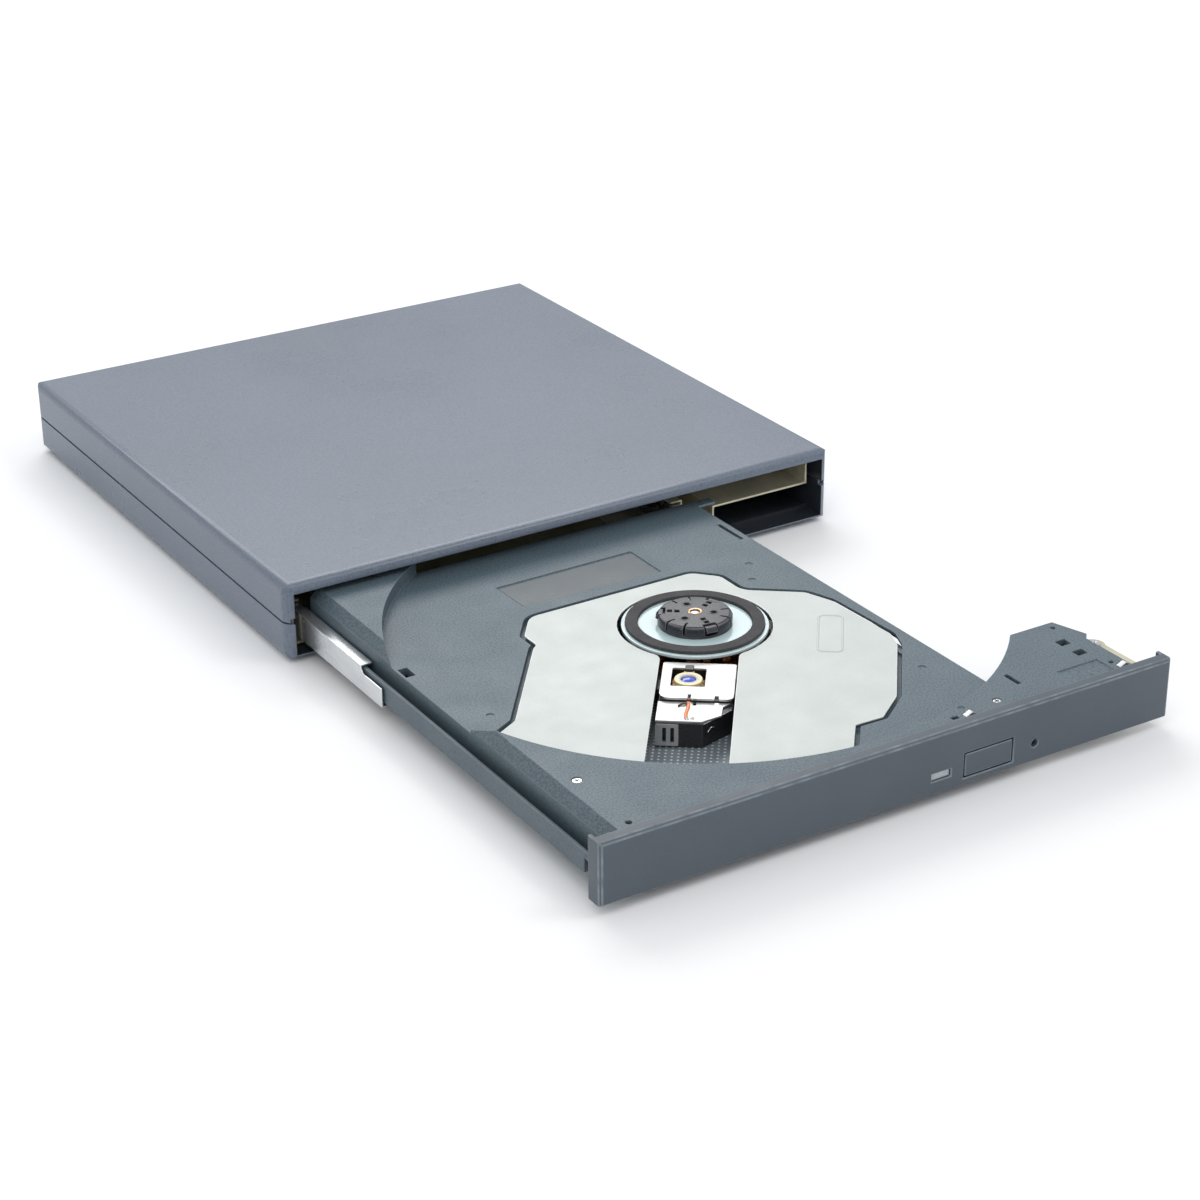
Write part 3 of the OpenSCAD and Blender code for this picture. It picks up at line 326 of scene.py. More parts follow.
def cable_lines(nt, base, height):
    """Conductors that show through the film."""
    lines = stripes(nt, 0, 0.5, 0.55)
    base = mix(nt, maths(nt, "MULTIPLY", lines, 0.75), base, (0.5, 0.42, 0.3))
    return base, maths(nt, "ADD", height, lines)


def windings(nt, base, height):
    """Turns of wire, one above the other."""
    wire_mm = 0.24
    turns = maths(nt, "PINGPONG", maths(nt, "MULTIPLY", axis_value(nt, 2), 1000.0 / wire_mm), 0.5)
    base = mix(nt, maths(nt, "MULTIPLY", turns, 0.9), base, (0.75, 0.42, 0.2))
    return base, maths(nt, "MULTIPLY", turns, 6.0)


def materials():
    """Every finish, by the short name that the pieces use."""
    m = {}
    m["case"] = surface(
        "case_plastic", (0.116, 0.142, 0.184), 0.3, tone=0.06, tone_mm=60, speck=0.2, speck_mm=0.5,
        grain_mm=0.55, depth_mm=0.024, wear_and_highlight=(0.2, 0.22, 0.25), wear_and_highlight_by=0.35, dent_mm=0.02,
        pattern=case_interior_shade)
    m["bezel"] = surface(
        "bezel_plastic", (0.068, 0.086, 0.104), 0.42, tone=0.04, speck=0.05, grain_mm=0.3,
        depth_mm=0.006, wear_and_highlight=(0.3, 0.34, 0.38), wear_and_highlight_by=0.6)
    m["tray"] = surface(
        "tray_plastic", (0.07, 0.1, 0.12), 0.45, tone=0.08, speck=0.5, speck_mm=0.4, grain_mm=0.5,
        depth_mm=0.055, wear_and_highlight=(0.17, 0.2, 0.22), wear_and_highlight_by=0.45, pattern=tray_zones)
    m["panel"] = surface(
        "panel_plastic", (0.045, 0.062, 0.072), 0.3, tone=0.08, speck=0.06, grain_mm=0.3,
        depth_mm=0.006)
    m["black"] = surface(
        "black_plastic", (0.016, 0.016, 0.018), 0.3, tone=0.1, speck=0.1, grain_mm=0.3, depth_mm=0.008,
        wear_and_highlight=(0.1, 0.1, 0.11), wear_and_highlight_by=0.5)
    m["hub"] = surface(
        "hub_plastic", (0.028, 0.028, 0.034), 0.3, tone=0.1, speck=0.12, speck_mm=0.25, grain_mm=0.25,
        depth_mm=0.006, wear_and_highlight=(0.2, 0.2, 0.22), wear_and_highlight_by=0.6)
    m["pale"] = surface(
        "pale_plastic", (0.62, 0.6, 0.53), 0.4, tone=0.05, speck=0.05, wear_and_highlight=(0.75, 0.73, 0.66))
    m["cream"] = surface(
        "cream_plastic", (0.78, 0.62, 0.3), 0.25, tone=0.1, tone_mm=1.5, speck=0.1, speck_mm=0.2,
        grain_mm=0.4, depth_mm=0.01, wear_and_highlight=(0.95, 0.86, 0.6), wear_and_highlight_by=0.8, coat=0.3)
    m["platter"] = surface(
        "turntable_plastic", (0.5, 0.64, 0.65), 0.22, tone=0.04, speck=0.05, grain_mm=0.5,
        depth_mm=0.004, wear_and_highlight=(0.85, 0.92, 0.92), wear_and_highlight_by=1.0, coat=0.4)
    m["rubber"] = surface(
        "rubber", (0.052, 0.05, 0.052), 0.75, tone=0.12, tone_mm=5, speck=0.25, speck_mm=0.3,
        grain_mm=0.25, depth_mm=0.02, wear_and_highlight=(0.09, 0.09, 0.09), specular=0.35)
    m["feet"] = surface(
        "feet_rubber", (0.02, 0.02, 0.022), 0.8, tone=0.12, speck=0.15, grain_mm=0.25, depth_mm=0.02)
    m["window"] = surface(
        "clear_plastic", (0.42, 0.45, 0.47), 0.3, tone=0.1, tone_mm=1.2, speck=0.1, grain_mm=0.5,
        depth_mm=0.02, wear_and_highlight=(0.7, 0.73, 0.75), coat=0.5)
    m["plate"] = surface(
        "cover_metal", (0.56, 0.59, 0.56), 0.5, metallic=0.25, tone=0.02, tone_mm=12, speck=0.05,
        speck_mm=0.45, grain_mm=0.4, depth_mm=0.008, wear_and_highlight=(0.95, 0.95, 0.93), wear_and_highlight_by=0.9)
    m["sled"] = surface(
        "sled_metal", (0.56, 0.55, 0.54), 0.34, metallic=0.75, tone=0.06, tone_mm=6, speck=0.08,
        speck_mm=0.3, grain_mm=0.3, depth_mm=0.006, wear_and_highlight=(0.9, 0.89, 0.87), wear_and_highlight_by=0.9)
    m["rail"] = surface(
        "rail_steel", (0.66, 0.68, 0.69), 0.24, metallic=0.85, tone=0.06, tone_mm=10, speck=0.12,
        speck_mm=0.25, grain_mm=0.25, depth_mm=0.008, stretch=(1, 0.04, 1), wear_and_highlight=(0.9, 0.91, 0.92))
    m["steel"] = surface(
        "frame_steel", (0.5, 0.5, 0.5), 0.34, metallic=0.9, tone=0.08, speck=0.1, grain_mm=0.4,
        depth_mm=0.008, wear_and_highlight=(0.8, 0.8, 0.8))
    m["screw"] = surface(
        "screw_steel", (0.58, 0.58, 0.59), 0.22, metallic=1.0, tone=0.08, tone_mm=2, speck=0.06,
        grain_mm=0.3, depth_mm=0.004, wear_and_highlight=(0.85, 0.85, 0.85))
    m["tinned"] = surface(
        "tinned_steel", (0.56, 0.52, 0.38), 0.36, metallic=0.4, tone=0.14, tone_mm=9, speck=0.1,
        speck_mm=0.3, grain_mm=0.3, depth_mm=0.008, stretch=(1, 0.06, 1), wear_and_highlight=(0.86, 0.8, 0.62),
        wear_and_highlight_by=1.0)
    m["can"] = surface(
        "can_metal", (0.66, 0.67, 0.69), 0.2, metallic=0.95, tone=0.05, speck=0.05, grain_mm=0.5,
        depth_mm=0.006, wear_and_highlight=(0.9, 0.9, 0.92))
    m["sheet"] = surface(
        "dark_sheet", (0.2, 0.235, 0.26), 0.4, metallic=0.1, tone=0.1, speck=0.06, depth_mm=0.01,
        pattern=dot_grid)
    m["copper"] = surface(
        "copper_wire", (0.5, 0.2, 0.08), 0.3, metallic=0.9, tone=0.08, tone_mm=3, speck=0.05,
        grain_mm=0.3, depth_mm=0.01, pattern=windings)
    m["gold"] = surface(
        "bush_metal", (0.72, 0.42, 0.24), 0.25, metallic=0.9, tone=0.1, tone_mm=1, speck=0.08,
        grain_mm=0.2, depth_mm=0.004, wear_and_highlight=(0.9, 0.7, 0.5))
    m["board"] = surface(
        "circuit_board", (0.012, 0.12, 0.05), 0.28, tone=0.1, speck=0.05, depth_mm=0.01,
        pattern=board_traces, coat=0.3)
    m["film"] = surface(
        "flex_film", (0.72, 0.68, 0.56), 0.32, tone=0.05, speck=0.03, depth_mm=0.006,
        pattern=cable_lines, coat=0.3)
    m["orange"] = surface(
        "orange_film", (0.78, 0.2, 0.03), 0.3, tone=0.15, tone_mm=0.8, speck=0.1, grain_mm=0.3,
        depth_mm=0.01, wear_and_highlight=(0.9, 0.5, 0.2), coat=0.3)
    m["lens"] = surface(
        "lens_glass", (0.03, 0.1, 0.75), 0.06, tone=0.25, tone_mm=1.2, speck=0.0, grain_mm=1.5,
        depth_mm=0.002, rough_by=0.03, coat=1.0, clear=0.2)
    return m


# ---------------------------------------------------------------- mesh tools

def link(mesh, name, mat):
    ob = bpy.data.objects.new(name, mesh)
    bpy.context.scene.collection.objects.link(ob)
    ob.data.materials.clear()
    ob.data.materials.append(mat)
    return ob


def baked(ob):
    """The object's mesh with its modifiers applied, and the modifiers removed."""
    bpy.context.view_layer.update()
    graph = bpy.context.evaluated_depsgraph_get()
    mesh = bpy.data.meshes.new_from_object(ob.evaluated_get(graph), depsgraph=graph)
    ob.modifiers.clear()
    if ob.type == "MESH":
        ob.data = mesh
    return mesh


def room_beside(edge):
    """How far a bevel of this edge may reach over its two faces."""
    along = (edge.verts[1].co - edge.verts[0].co).normalized()
    room = 1.0
    for v in edge.verts:
        for e in v.link_edges:
            if e is edge or not any(f in edge.link_faces for f in e.link_faces):
                continue
            side = e.other_vert(v).co - v.co
            reach = (side - along * side.dot(along)).length
            if reach > 0.25 * side.length:
                room = min(room, reach)
    return room * 0.42


def soften(part, name, width_mm, mat, angle):
    """A copy of a CAD node with small rounds on its edges, which rides in its place."""
    bm = bmesh.new()
    bm.from_mesh(frame["nodes"][part].data)
    bmesh.ops.remove_doubles(bm, verts=bm.verts, dist=2e-6)
    bmesh.ops.dissolve_limit(bm, angle_limit=math.radians(0.6), verts=bm.verts, edges=bm.edges)
    weights = bm.edges.layers.float.new("bevel_weight_edge")
    width = width_mm * MM
    for e in bm.edges:
        if len(e.link_faces) == 2 and e.calc_face_angle(0) > math.radians(angle):
            w = min(width, room_beside(e))
            e[weights] = w / width if w > 0.08 * width else 0
    mesh = bpy.data.meshes.new(name)
    bm.to_mesh(mesh)
    bm.free()
    ob = link(mesh, name, mat)
    bevel = ob.modifiers.new("round", "BEVEL")
    bevel.limit_method = "WEIGHT"
    bevel.width = width
    bevel.segments = BEVEL_SEGMENTS
    bevel.use_clamp_overlap = False
    bevel.material = 1
    mesh.materials.append(mat)
    finish_mesh(ob, baked(ob))
    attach(ob, BODY_OF[part])
    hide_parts(part)


def finish_mesh(ob, mesh, sharp=SHARP_ANGLE):
    """Marks the faces that a bevel made, and shades flat faces flat and rounds round."""
    att = mesh.attributes.new("edge", "FLOAT", "FACE")
    for p in mesh.polygons:
        att.data[p.index].value = 1.0 if p.material_index == 1 else 0.0
        p.material_index = 0
        p.use_smooth = True
    while len(mesh.materials) > 1:
        mesh.materials.pop()
    mesh.set_sharp_from_angle(angle=math.radians(sharp))
    ob.data = mesh
    weighted = ob.modifiers.new("normals", "WEIGHTED_NORMAL")
    weighted.keep_sharp = True
    weighted.weight = 80
    baked(ob)


def piece(name, verts, faces, mat, body, round_mm=0.0, sharp=SHARP_ANGLE):
    """A piece from points in metres and faces."""
    mesh = bpy.data.meshes.new(name)
    mesh.from_pydata([tuple(v) for v in verts], [], faces)
    bm = bmesh.new()
    bm.from_mesh(mesh)
    bmesh.ops.recalc_face_normals(bm, faces=bm.faces)
    bm.to_mesh(mesh)
    bm.free()
    ob = link(mesh, name, mat)
    mesh.materials.append(mat)
    if round_mm:
        bevel = ob.modifiers.new("round", "BEVEL")
        bevel.width = round_mm * MM
        bevel.segments = BEVEL_SEGMENTS
        bevel.limit_method = "ANGLE"
        bevel.angle_limit = math.radians(sharp)
        bevel.material = 1
    finish_mesh(ob, baked(ob), sharp)
    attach(ob, body)
    return ob


def lathe(name, centre, profile, mat, body, steps):
    """A closed ring from a profile of (radius, height) in millimetres, turned about the centre."""
    verts, faces, n = [], [], len(profile)
    for i in range(steps):
        a = 2 * math.pi * i / steps
        for r, h in profile:
            verts.append(centre + Vector((r * math.cos(a), r * math.sin(a), h)) * MM)
        for j in range(n):
            k, nxt = (j + 1) % n, (i + 1) % steps
            faces.append((i * n + j, nxt * n + j, nxt * n + k, i * n + k))
    return piece(name, verts, faces, mat, body)


def tube(name, path, radius_mm, mat, body, closed=False, sides=8, flat=1.0):
    """A round bar along points in metres; flat squeezes its height."""
    verts, faces, n = [], [], len(path)
    for i, p in enumerate(path):
        before = path[i - 1] if i or closed else p
        after = path[(i + 1) % n] if i < n - 1 or closed else p
        along = (after - before).normalized()
        side = along.cross(Vector((0, 0, 1)))
        side = side.normalized() if side.length > 1e-6 else Vector((1, 0, 0))
        up = side.cross(along)
        for k in range(sides):
            a = 2 * math.pi * k / sides
            verts.append(p + (side * math.cos(a) + up * math.sin(a) * flat) * radius_mm * MM)
    for i in range(n if closed else n - 1):
        j = (i + 1) % n
        for k in range(sides):
            m = (k + 1) % sides
            faces.append((i * sides + k, j * sides + k, j * sides + m, i * sides + m))
    if not closed:
        faces.append(tuple(range(sides)))
        faces.append(tuple((n - 1) * sides + k for k in range(sides)))
    return piece(name, verts, faces, mat, body, sharp=50)


def rounded_outline(points, radius, steps=5):
    """An outline in millimetres with its corners rounded; radius is one number or one for each corner."""
    out, n = [], len(points)
    for i in range(n):
        r = radius[i] if isinstance(radius, (list, tuple)) else radius
        p, a, b = (Vector(points[j % n]) for j in (i, i - 1, i + 1))
        u, v = (a - p).normalized(), (b - p).normalized()
        if r <= 0:
            out.append(tuple(p))
            continue
        half = u.angle(v) / 2
        cut = min(r / math.tan(half), 0.49 * (a - p).length, 0.49 * (b - p).length)
        r = cut * math.tan(half)
        centre = p + (u + v).normalized() * (r / math.sin(half))
        start, end = p + u * cut - centre, p + v * cut - centre
        turn = start.angle_signed(end)
        for k in range(steps + 1):
            c, s = math.cos(-turn * k / steps), math.sin(-turn * k / steps)
            out.append(tuple(centre + Vector((start.x * c - start.y * s, start.x * s + start.y * c))))
    return out


def plate(name, outlines, bottom_mm, top_mm, place, mat, body, round_mm, segments=BEVEL_SEGMENTS):
    """A flat plate with holes: the first outline is its edge.

    place turns (u, v, height) in millimetres into a point in metres.
    """
    curve = bpy.data.curves.new(name, "CURVE")
    curve.dimensions = "2D"
    curve.fill_mode = "BOTH"
    curve.extrude = (top_mm - bottom_mm) / 2
    for points in outlines:
        spline = curve.splines.new("POLY")
        spline.points.add(len(points) - 1)
        for q, p in zip(spline.points, points):
            q.co = (p[0], p[1], 0, 1)
        spline.use_cyclic_u = True
    flat = bpy.data.objects.new(name + "_outline", curve)
    bpy.context.scene.collection.objects.link(flat)
    mesh = baked(flat)
    bpy.data.objects.remove(flat)
    bm = bmesh.new()
    bm.from_mesh(mesh)
    bmesh.ops.remove_doubles(bm, verts=bm.verts, dist=1e-4)
    bmesh.ops.dissolve_limit(bm, angle_limit=math.radians(0.5), verts=bm.verts, edges=bm.edges)
    for v in bm.verts:
        v.co = place(v.co.x, v.co.y, (bottom_mm + top_mm) / 2 + v.co.z)
    bmesh.ops.recalc_face_normals(bm, faces=bm.faces)
    bm.to_mesh(mesh)
    bm.free()
    ob = link(mesh, name, mat)
    mesh.materials.append(mat)
    bevel = ob.modifiers.new("round", "BEVEL")
    bevel.width = round_mm * MM
    bevel.segments = segments
    bevel.limit_method = "ANGLE"
    bevel.angle_limit = math.radians(50)
    bevel.material = 1
    finish_mesh(ob, baked(ob), 40)
    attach(ob, body)
    return ob


# ---------------------------------------------------------------- pieces

def softened_parts(m):
    """Each row is a CAD node, its piece, the width of the rounds in mm, the material and the slot."""
    lid_angle = 60.0
    for part, name, width, mat, slot in [
        ("top_cover", "case_lid", 0.3, "case", "case_plastic"),
        ("rubber_feet", "feet", 0.3, "feet", "rubber"),
        ("case_screws", "shell_screws", 0.12, "screw", "screw_steel"),
        ("drive_chassis", "chassis_pan", 0.16, "tinned", "tinned_steel"),
        ("drive_lid", "chassis_lid", 0.12, "rail", "rail_steel"),
        ("lid_screws", "chassis_screws", 0.1, "screw", "screw_steel"),
        ("outer_rail_left", "rail_channel_left", 0.12, "tinned", "tinned_steel"),
        ("outer_rail_right", "rail_channel_right", 0.12, "tinned", "tinned_steel"),
        ("middle_rail_left", "slide_left", 0.15, "rail", "rail_steel"),
        ("middle_rail_right", "slide_right", 0.15, "rail", "rail_steel"),
        ("latch_post", "post", 0.15, "screw", "screw_steel"),
        ("eject_pusher", "plunger_block", 0.2, "pale", "pale_plastic"),
        ("tray", "tray_moulding", 0.16, "tray", "tray_plastic"),
        ("bezel", "bezel_moulding", 0.22, "bezel", "bezel_plastic"),
        ("eject_button", "button_cap", 0.22, "bezel", "bezel_plastic"),
        ("light_pipe", "led_window", 0.15, "window", "clear_plastic"),
        ("eject_switch", "switch_bodies", 0.12, "black", "black_plastic"),
        ("latch_hook", "hook", 0.12, "steel", "rail_steel"),
        ("latch_pivot", "hook_pivot", 0.12, "screw", "screw_steel"),
        ("tray_bottom_cover", "floor_sheet", 0.12, "sheet", "dark_sheet"),
        ("wing_plate", "wing_sheet", 0.1, "tinned", "tinned_steel"),
        ("cover_plate", "disc_plate", 0.16, "plate", "cover_metal"),
        ("rubber_dampers", "frame_dampers", 0.2, "feet", "rubber"),
        ("damper_screws", "frame_screws", 0.1, "screw", "screw_steel"),
        ("guide_rod_main", "rod_main", 0.15, "screw", "screw_steel"),
        ("guide_rod_side", "rod_side", 0.15, "screw", "screw_steel"),
        ("feed_motor", "sled_motor", 0.15, "can", "rail_steel"),
        ("turntable", "platter", 0.16, "platter", "turntable_plastic"),
        ("rubber_ring", "grip_ring", 0.16, "rubber", "rubber"),
        ("clamp_hub", "hub", 0.14, "hub", "black_plastic"),
        ("clamp_claw_1", "claw_one", 0.12, "hub", "black_plastic"),
        ("clamp_claw_2", "claw_two", 0.12, "hub", "black_plastic"),
        ("clamp_claw_3", "claw_three", 0.12, "hub", "black_plastic"),
        ("claw_springs", "hub_springs", 0.05, "screw", "screw_steel"),
        ("sled_body", "sled_housing", 0.16, "black", "black_plastic"),
        ("sled_plate", "sled_lower_plate", 0.08, "sled", "sled_metal"),
        ("lens_holder", "lens_mount", 0.22, "cream", "cream_plastic"),
        ("objective_lens", "lens", 0.05, "lens", "lens_glass"),
        ("usb_socket", "usb_shell", 0.12, "can", "can_metal"),
        ("dc_jack", "power_jack", 0.15, "black", "black_plastic"),
        ("board_connector", "board_socket", 0.15, "black", "black_plastic"),
        ("drive_connector", "drive_socket", 0.15, "pale", "pale_plastic"),
        ("bridge_chip", "bridge_package", 0.08, "black", "black_plastic"),
        ("board_components", "board_cans", 0.2, "can", "can_metal"),
        ("main_board_chips", "main_packages", 0.12, "black", "black_plastic"),
        ("solenoid", "latch_coil", 0.2, "copper", "copper"),
        ("motor_stator", "stator", 0.15, "copper", "copper"),
    ]:
        soften(part, name, width, m[mat], lid_angle if mat == "case" else SHARP_ANGLE)


def plain_parts(m):
    """CAD nodes whose shape is right, with their materials."""
    for names, mat in [
        (("bottom_shell",), "case"),
        (("traverse_frame",), "steel"),
        (("bridge_board", "main_board", "front_board"), "board"),
        (("flex_cable_fixed", "flex_cable_loop", "flex_cable_tray"), "film"),
    ]:
        for n in names:
            ob = frame["nodes"][n]
            for s in ob.material_slots:
                s.material = m[mat]
            if not ob.material_slots:
                ob.data.materials.append(m[mat])


def sled_cover_piece(m):
    """Stamped cover with rounded corners, two notches and the lens window."""
    edge = rounded_outline(
        [(15.5, -5.2), (15.5, 9), (30.2, 9), (30.2, 6.2), (28.9, 6.2), (28.9, 5.4), (30.2, 5.4),
         (30.2, 0.9), (28.5, 0.9), (28.5, 0.3), (30.2, 0.3), (30.2, -5.2)],
        [0.5, 0.5, 2.0, 0.2, 0.1, 0.1, 0.2, 0.2, 0.1, 0.1, 0.2, 2.0])
    hole = rounded_outline([(17.7, -3.3), (17.7, 3.3), (25.3, 3.3), (25.3, -3.3)], 0.35)
    ob = plate("sled_cover_sheet", [edge, hole], 7.8, 8.2, mech, m["sled"], "sled", 0.18, 3)
    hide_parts("sled_cover")


def sled_details(m):
    """Small parts on the sled that the CAD model leaves out."""
    # Black tab over the window
    tab = rounded_outline([(17.0, -0.85), (17.0, 0.85), (18.9, 0.85), (18.9, -0.85)], 0.25)
    plate("lens_tab", [tab], 7.85, 8.55, mech, m["black"], "sled", 0.12)
    # Focus coils beside the holder
    for k, t in enumerate((-2.95, 2.95)):
        path = []
        for i in range(20):
            a = 2 * math.pi * i / 20
            path.append(mech(LENS_S + 1.7 * math.cos(a), t + 0.14 * math.sin(a), 6.7))
        tube(f"focus_coil_{k + 1}", path, 0.16, m["gold"], "lens", closed=True, flat=3.0)
    # Bright ring round the lens
    lathe("lens_ring", mech(LENS_S, 0, 7.9), [(1.48, 0), (1.6, 0.28), (1.9, 0.34), (2.2, 0.26), (2.25, 0)],
          m["pale"], "lens", 48)
    # Suspension wires from the holder to the housing
    for k, t in enumerate((-2.4, -2.0, 2.0, 2.4)):
        path = [mech(23.6 + 0.35 * i, t, 7.1) for i in range(6)]
        tube(f"lens_wire_{k + 1}", path, 0.05, m["gold"], "sled")
    # Grey metal block on the housing's end, with two slots
    end_s = 38.15

    def end_face(u, v, w):
        return mech(end_s + w, u, v)

    block = rounded_outline([(-5.25, 2.4), (-0.9, 2.4), (-0.9, 6.9), (-5.25, 6.9)], 0.2)
    slots = [rounded_outline([(a, 3.2), (a + 0.7, 3.2), (a + 0.7, 6.2), (a, 6.2)], 0.12)
             for a in (-3.9, -2.4)]
    plate("sled_end_block", [block] + slots, 0.1, 0.32, end_face, m["sled"], "sled", 0.06)
    # Contact on the slanted face
    corner, far = Vector((38.2, 3.6)), Vector((31.8, 8.9))
    slant = (far - corner).normalized()
    out = Vector((slant.y, -slant.x))

    def slanted(u, v, w):
        q = corner + slant * u + out * w
        return mech(q.x, q.y, v)

    frame_line = rounded_outline([(0.9, 4.2), (3.6, 4.2), (3.6, 6.4), (0.9, 6.4)], 0.2)
    inner = rounded_outline([(1.2, 4.5), (3.3, 4.5), (3.3, 6.1), (1.2, 6.1)], 0.1)
    plate("sled_contact_frame", [frame_line, inner], 0.0, 0.14, slanted, m["black"], "sled", 0.04)
    contact = [slanted(1.4, 4.9, 0.1), slanted(2.1, 5.6, 0.12), slanted(3.1, 5.4, 0.1)]
    tube("sled_contact", contact, 0.14, m["screw"], "sled")
    # Trim line at the top of the slanted face
    trim = [slanted(0.2, 6.95, 0.05), slanted(3.4, 6.97, 0.05), slanted(8.0, 7.0, 0.05)]
    tube("sled_trim", trim, 0.11, m["sled"], "sled")
    # Orange flexible lead with its black hook
    lead = [mech(30.4 + 0.95 * i, 0.45 + 0.14 * math.sin(i * 0.9), 7.58 + 0.04 * math.sin(i))
            for i in range(8)]
    ob = tube("laser_lead", lead, 0.36, m["orange"], "sled", flat=0.3)
    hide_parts("laser_flex")
    hook = [mech(31.5, 0.3, 7.7), mech(31.6, -0.3, 7.75), mech(31.8, -0.9, 7.7), mech(32.3, -1.3, 7.62)]
    tube("laser_lead_hook", hook, 0.17, m["black"], "sled")
    # Two solder joints
    drop = [(0.02, 0.28), (0.2, 0.24), (0.36, 0.1), (0.4, 0), (0.02, 0)]
    for k, (s, t) in enumerate([(37.2, 0.6), (36.9, 1.6)]):
        lathe(f"solder_{k + 1}", mech(s, t, 7.5), drop, m["screw"], "sled", 24)


def chuck_details(m):
    """Bush, shaft end and the rims of three moulding holes on the hub."""
    centre = Vector((SPINDLE.x, SPINDLE.y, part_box("clamp_hub")[1].z))
    bush = [(1.0, -0.5), (1.0, 0.02), (1.08, 0.1), (1.3, 0.12), (1.42, 0.04), (1.42, -0.1), (1.2, -0.5)]
    lathe("hub_bush", centre, bush, m["gold"], "spindle", 64)
    shaft = [(0.02, -0.12), (0.5, -0.1), (0.8, -0.16), (0.88, -0.26), (0.88, -1.6), (0.02, -1.6)]
    lathe("shaft_end", centre, shaft, m["screw"], "spindle", 48)
    rim = [(0.62, -0.3), (0.62, 0.0), (0.68, 0.07), (0.88, 0.07), (0.98, 0.0), (0.98, -0.1)]
    from_spindle = 3.7 * MM
    for k in range(3):
        a = math.atan2(PATH.y, PATH.x) + math.radians(90 + 120 * k)
        at = centre + Vector((math.cos(a), math.sin(a), 0)) * from_spindle
        lathe(f"hole_rim_{k + 1}", at, rim, m["hub"], "spindle", 32)


def plate_details(m):
    """Rounded rectangle raised on the cover plate, as a fine ridge."""
    outline = rounded_outline([(-5.8, 24.4), (10.2, 24.4), (10.2, 29.2), (-5.8, 29.2)], 1.1, 8)
    h = (PLATE_TOP - DRIVE_FLOOR) / MM
    path = [mech(s, t, h) for s, t in outline]
    tube("plate_ridge", path, 0.22, m["plate"], "tray", closed=True, flat=0.7)


def on_tray(x, y, h):
    """A point of the tray in metres.

    In millimetres, x runs across, y back from the bezel's front and h above the drive's floor.
    """
    return Vector((x * MM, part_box("bezel")[0].y + y * MM, DRIVE_FLOOR + h * MM))


def tray_panel(m):
    """Smooth floor of the plain panel near the tray's back."""
    points = [(-24.3, 92.95), (7.4, 91.95), (7.4, 103.05), (-24.5, 102.75)]
    plate("panel_floor", [rounded_outline(points, 0.4)], 8.6, 8.72, on_tray, m["panel"], "tray", 0.05)


def tray_fixings(m):
    """Cross-head screws in the deck and the wing's lug, and sprung clips beside the bezel."""
    arm, half = 0.5, 0.13
    cross = []
    for k in range(4):
        c, s = math.cos(k * math.pi / 2), math.sin(k * math.pi / 2)
        cross += [(c * u - s * v, s * u + c * v) for u, v in ((half, -half), (arm, -half), (arm, half))]
    screws = [(26.3, 5.9, 11.3, 0.8), (-54.9, 22.2, 11.3, 0.9), (60.5, 18.1, 8.9, 1.4)]
    turns = [2 * math.pi * i / 32 for i in range(32)]
    for k, (x, y, h, r) in enumerate(screws):
        rim = [(r * math.cos(a), r * math.sin(a)) for a in turns]

        def placed(u, v, w, x=x, y=y, h=h):
            return on_tray(x + u, y + v, h + w)

        plate(f"deck_screw_{k + 1}", [rim, cross], 0, 0.35, placed, m["screw"], "tray", 0.09)
        core = [(0.02, 0.1), (r * 0.8, 0.1), (r * 0.8, -0.6), (0.02, -0.6)]
        lathe(f"deck_screw_core_{k + 1}", on_tray(x, y, h), core, m["screw"], "tray", 32)
    for k, x in enumerate((18.4, 55.5)):
        side = [(-1.2, 11.75), (1.1, 11.75), (1.1, 12.05), (0.3, 12.45)]
        verts = [on_tray(x + u, 4.3 + d, h) for d in (-0.6, 0.6) for u, h in side]
        faces = [(0, 1, 2, 3), (7, 6, 5, 4), (0, 4, 5, 1), (1, 5, 6, 2), (2, 6, 7, 3), (3, 7, 4, 0)]
        piece(f"bezel_clip_{k + 1}", verts, faces, m["steel"], "tray", 0.1)


def helix(name, start, axis, side, radius_mm, pitch_mm, turns, wire_mm, mat, body, steps=20):
    """A coil of wire that winds along an axis from its start."""
    up = axis.cross(side)
    n = int(turns * steps)
    path = []
    for i in range(n + 1):
        a = 2 * math.pi * i / steps
        turned = (side * math.cos(a) + up * math.sin(a)) * radius_mm * MM
        path.append(start + axis * (pitch_mm * i / steps * MM) + turned)
    return tube(name, path, wire_mm, mat, body, sides=6)


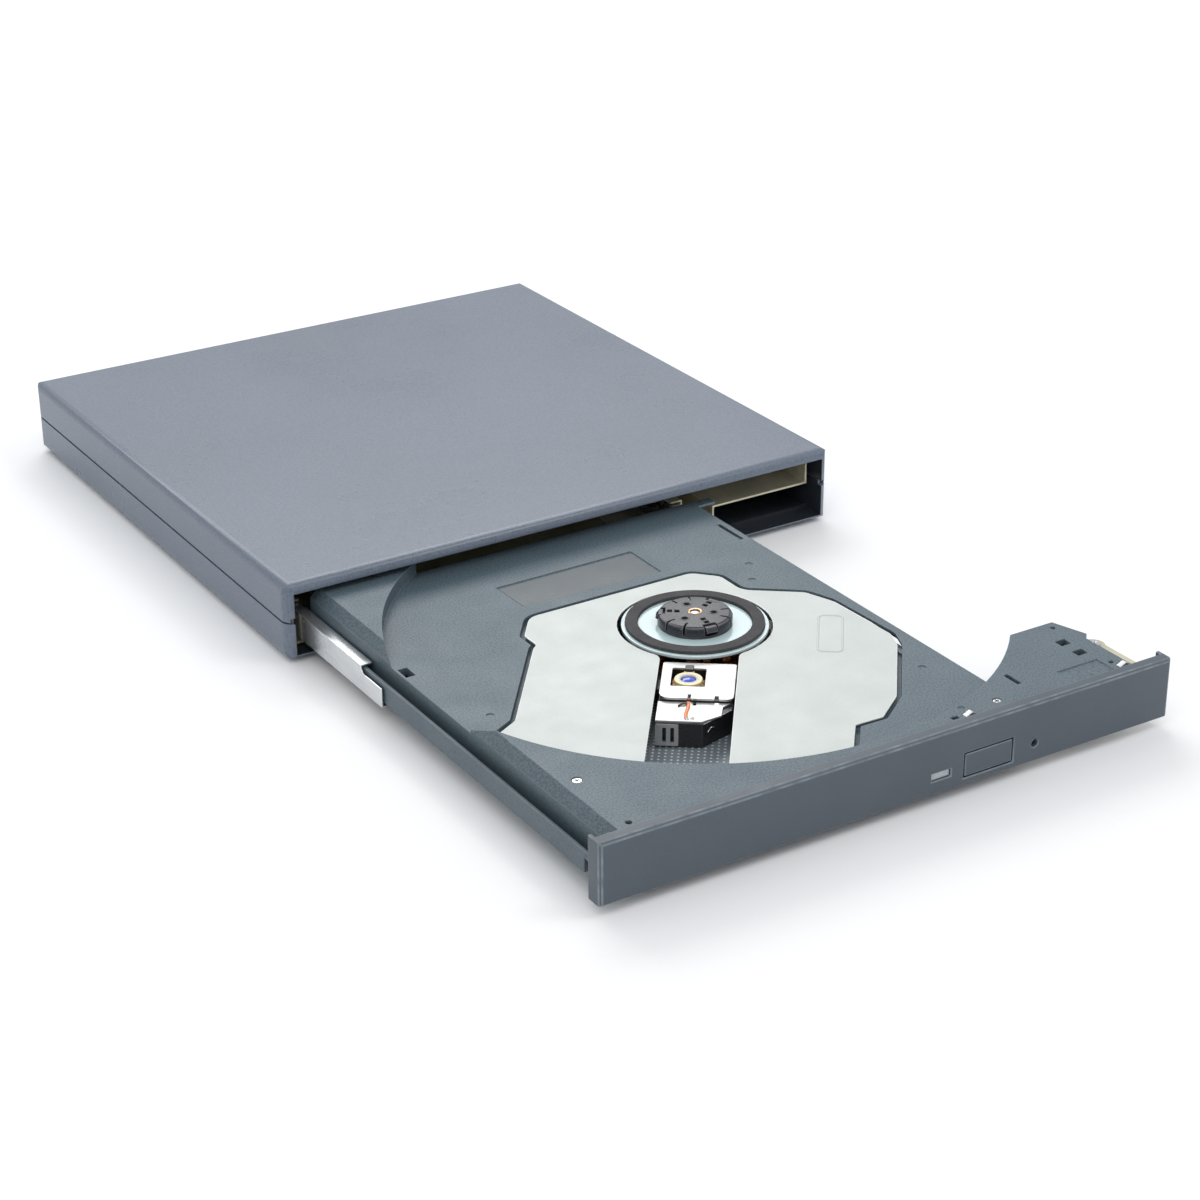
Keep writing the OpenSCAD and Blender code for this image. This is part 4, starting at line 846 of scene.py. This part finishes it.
def springs_and_screw(m):
    """The plunger's coil spring, and the lead screw as a core with a raised thread."""
    low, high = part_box("eject_spring")
    start = Vector(((low.x + high.x) / 2, low.y + 0.17 * MM, (low.z + high.z) / 2))
    ob = helix("eject_coil", start, Vector((0, 1, 0)), Vector((1, 0, 0)), 1.12, 0.52, 5, 0.16, m["screw"],
               BODY_OF["eject_spring"])
    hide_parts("eject_spring")
    start = mech(5.7, SCREW_T, SCREW_H)
    helix("feed_thread", start, PATH, ACROSS, 1.0, 1.5, 36, 0.19, m["screw"], BODY_OF["lead_screw"],
          14)
    core = [mech(s, SCREW_T, SCREW_H) for s in (-1.5, 5.55, 5.6, 60.25, 60.3, 62.1)]
    radii = (0.6, 0.6, 0.98, 0.98, 0.6, 0.6)
    sides = 24
    verts, faces = [], []
    for p, r in zip(core, radii):
        for k in range(sides):
            a = 2 * math.pi * k / sides
            verts.append(p + (ACROSS * math.cos(a) + Vector((0, 0, 1)) * math.sin(a)) * r * MM)
    for i in range(len(core) - 1):
        for k in range(sides):
            j = (k + 1) % sides
            faces.append((i * sides + k, (i + 1) * sides + k, (i + 1) * sides + j, i * sides + j))
    faces += [tuple(range(sides)), tuple((len(core) - 1) * sides + k for k in range(sides))]
    rod = piece("feed_screw_core", verts, faces, m["screw"], BODY_OF["lead_screw"])
    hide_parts("lead_screw")


def socket_contacts(m):
    """Contacts in the USB socket and the pin of the power socket."""
    pin_height = 7.2
    low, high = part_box("usb_socket")
    mid, z = (low.x + high.x) / 2, (low.z + high.z) / 2 - 0.05 * MM
    for k in range(5):
        x = mid + (k - 2) * 0.8 * MM
        path = [Vector((x, high.y - d * MM, z + 0.1 * MM)) for d in (1.3, 2.2, 4.0, 6.0)]
        tube(f"usb_contact_{k + 1}", path, 0.16, m["gold"], "root", flat=0.6)
    low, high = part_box("dc_jack")
    mid = (low.x + high.x) / 2
    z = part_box("bottom_shell")[0].z + pin_height * MM
    pin = [Vector((mid, high.y - d * MM, z)) for d in (0.95, 1.15, 3.0, 6.0)]
    tube("jack_pin", pin, 0.62, m["screw"], "root", sides=20)


def build():
    camera()
    m = materials()
    studio()
    softened_parts(m)
    plain_parts(m)
    sled_cover_piece(m)
    sled_details(m)
    chuck_details(m)
    plate_details(m)
    tray_panel(m)
    tray_fixings(m)
    springs_and_screw(m)
    socket_contacts(m)


build()
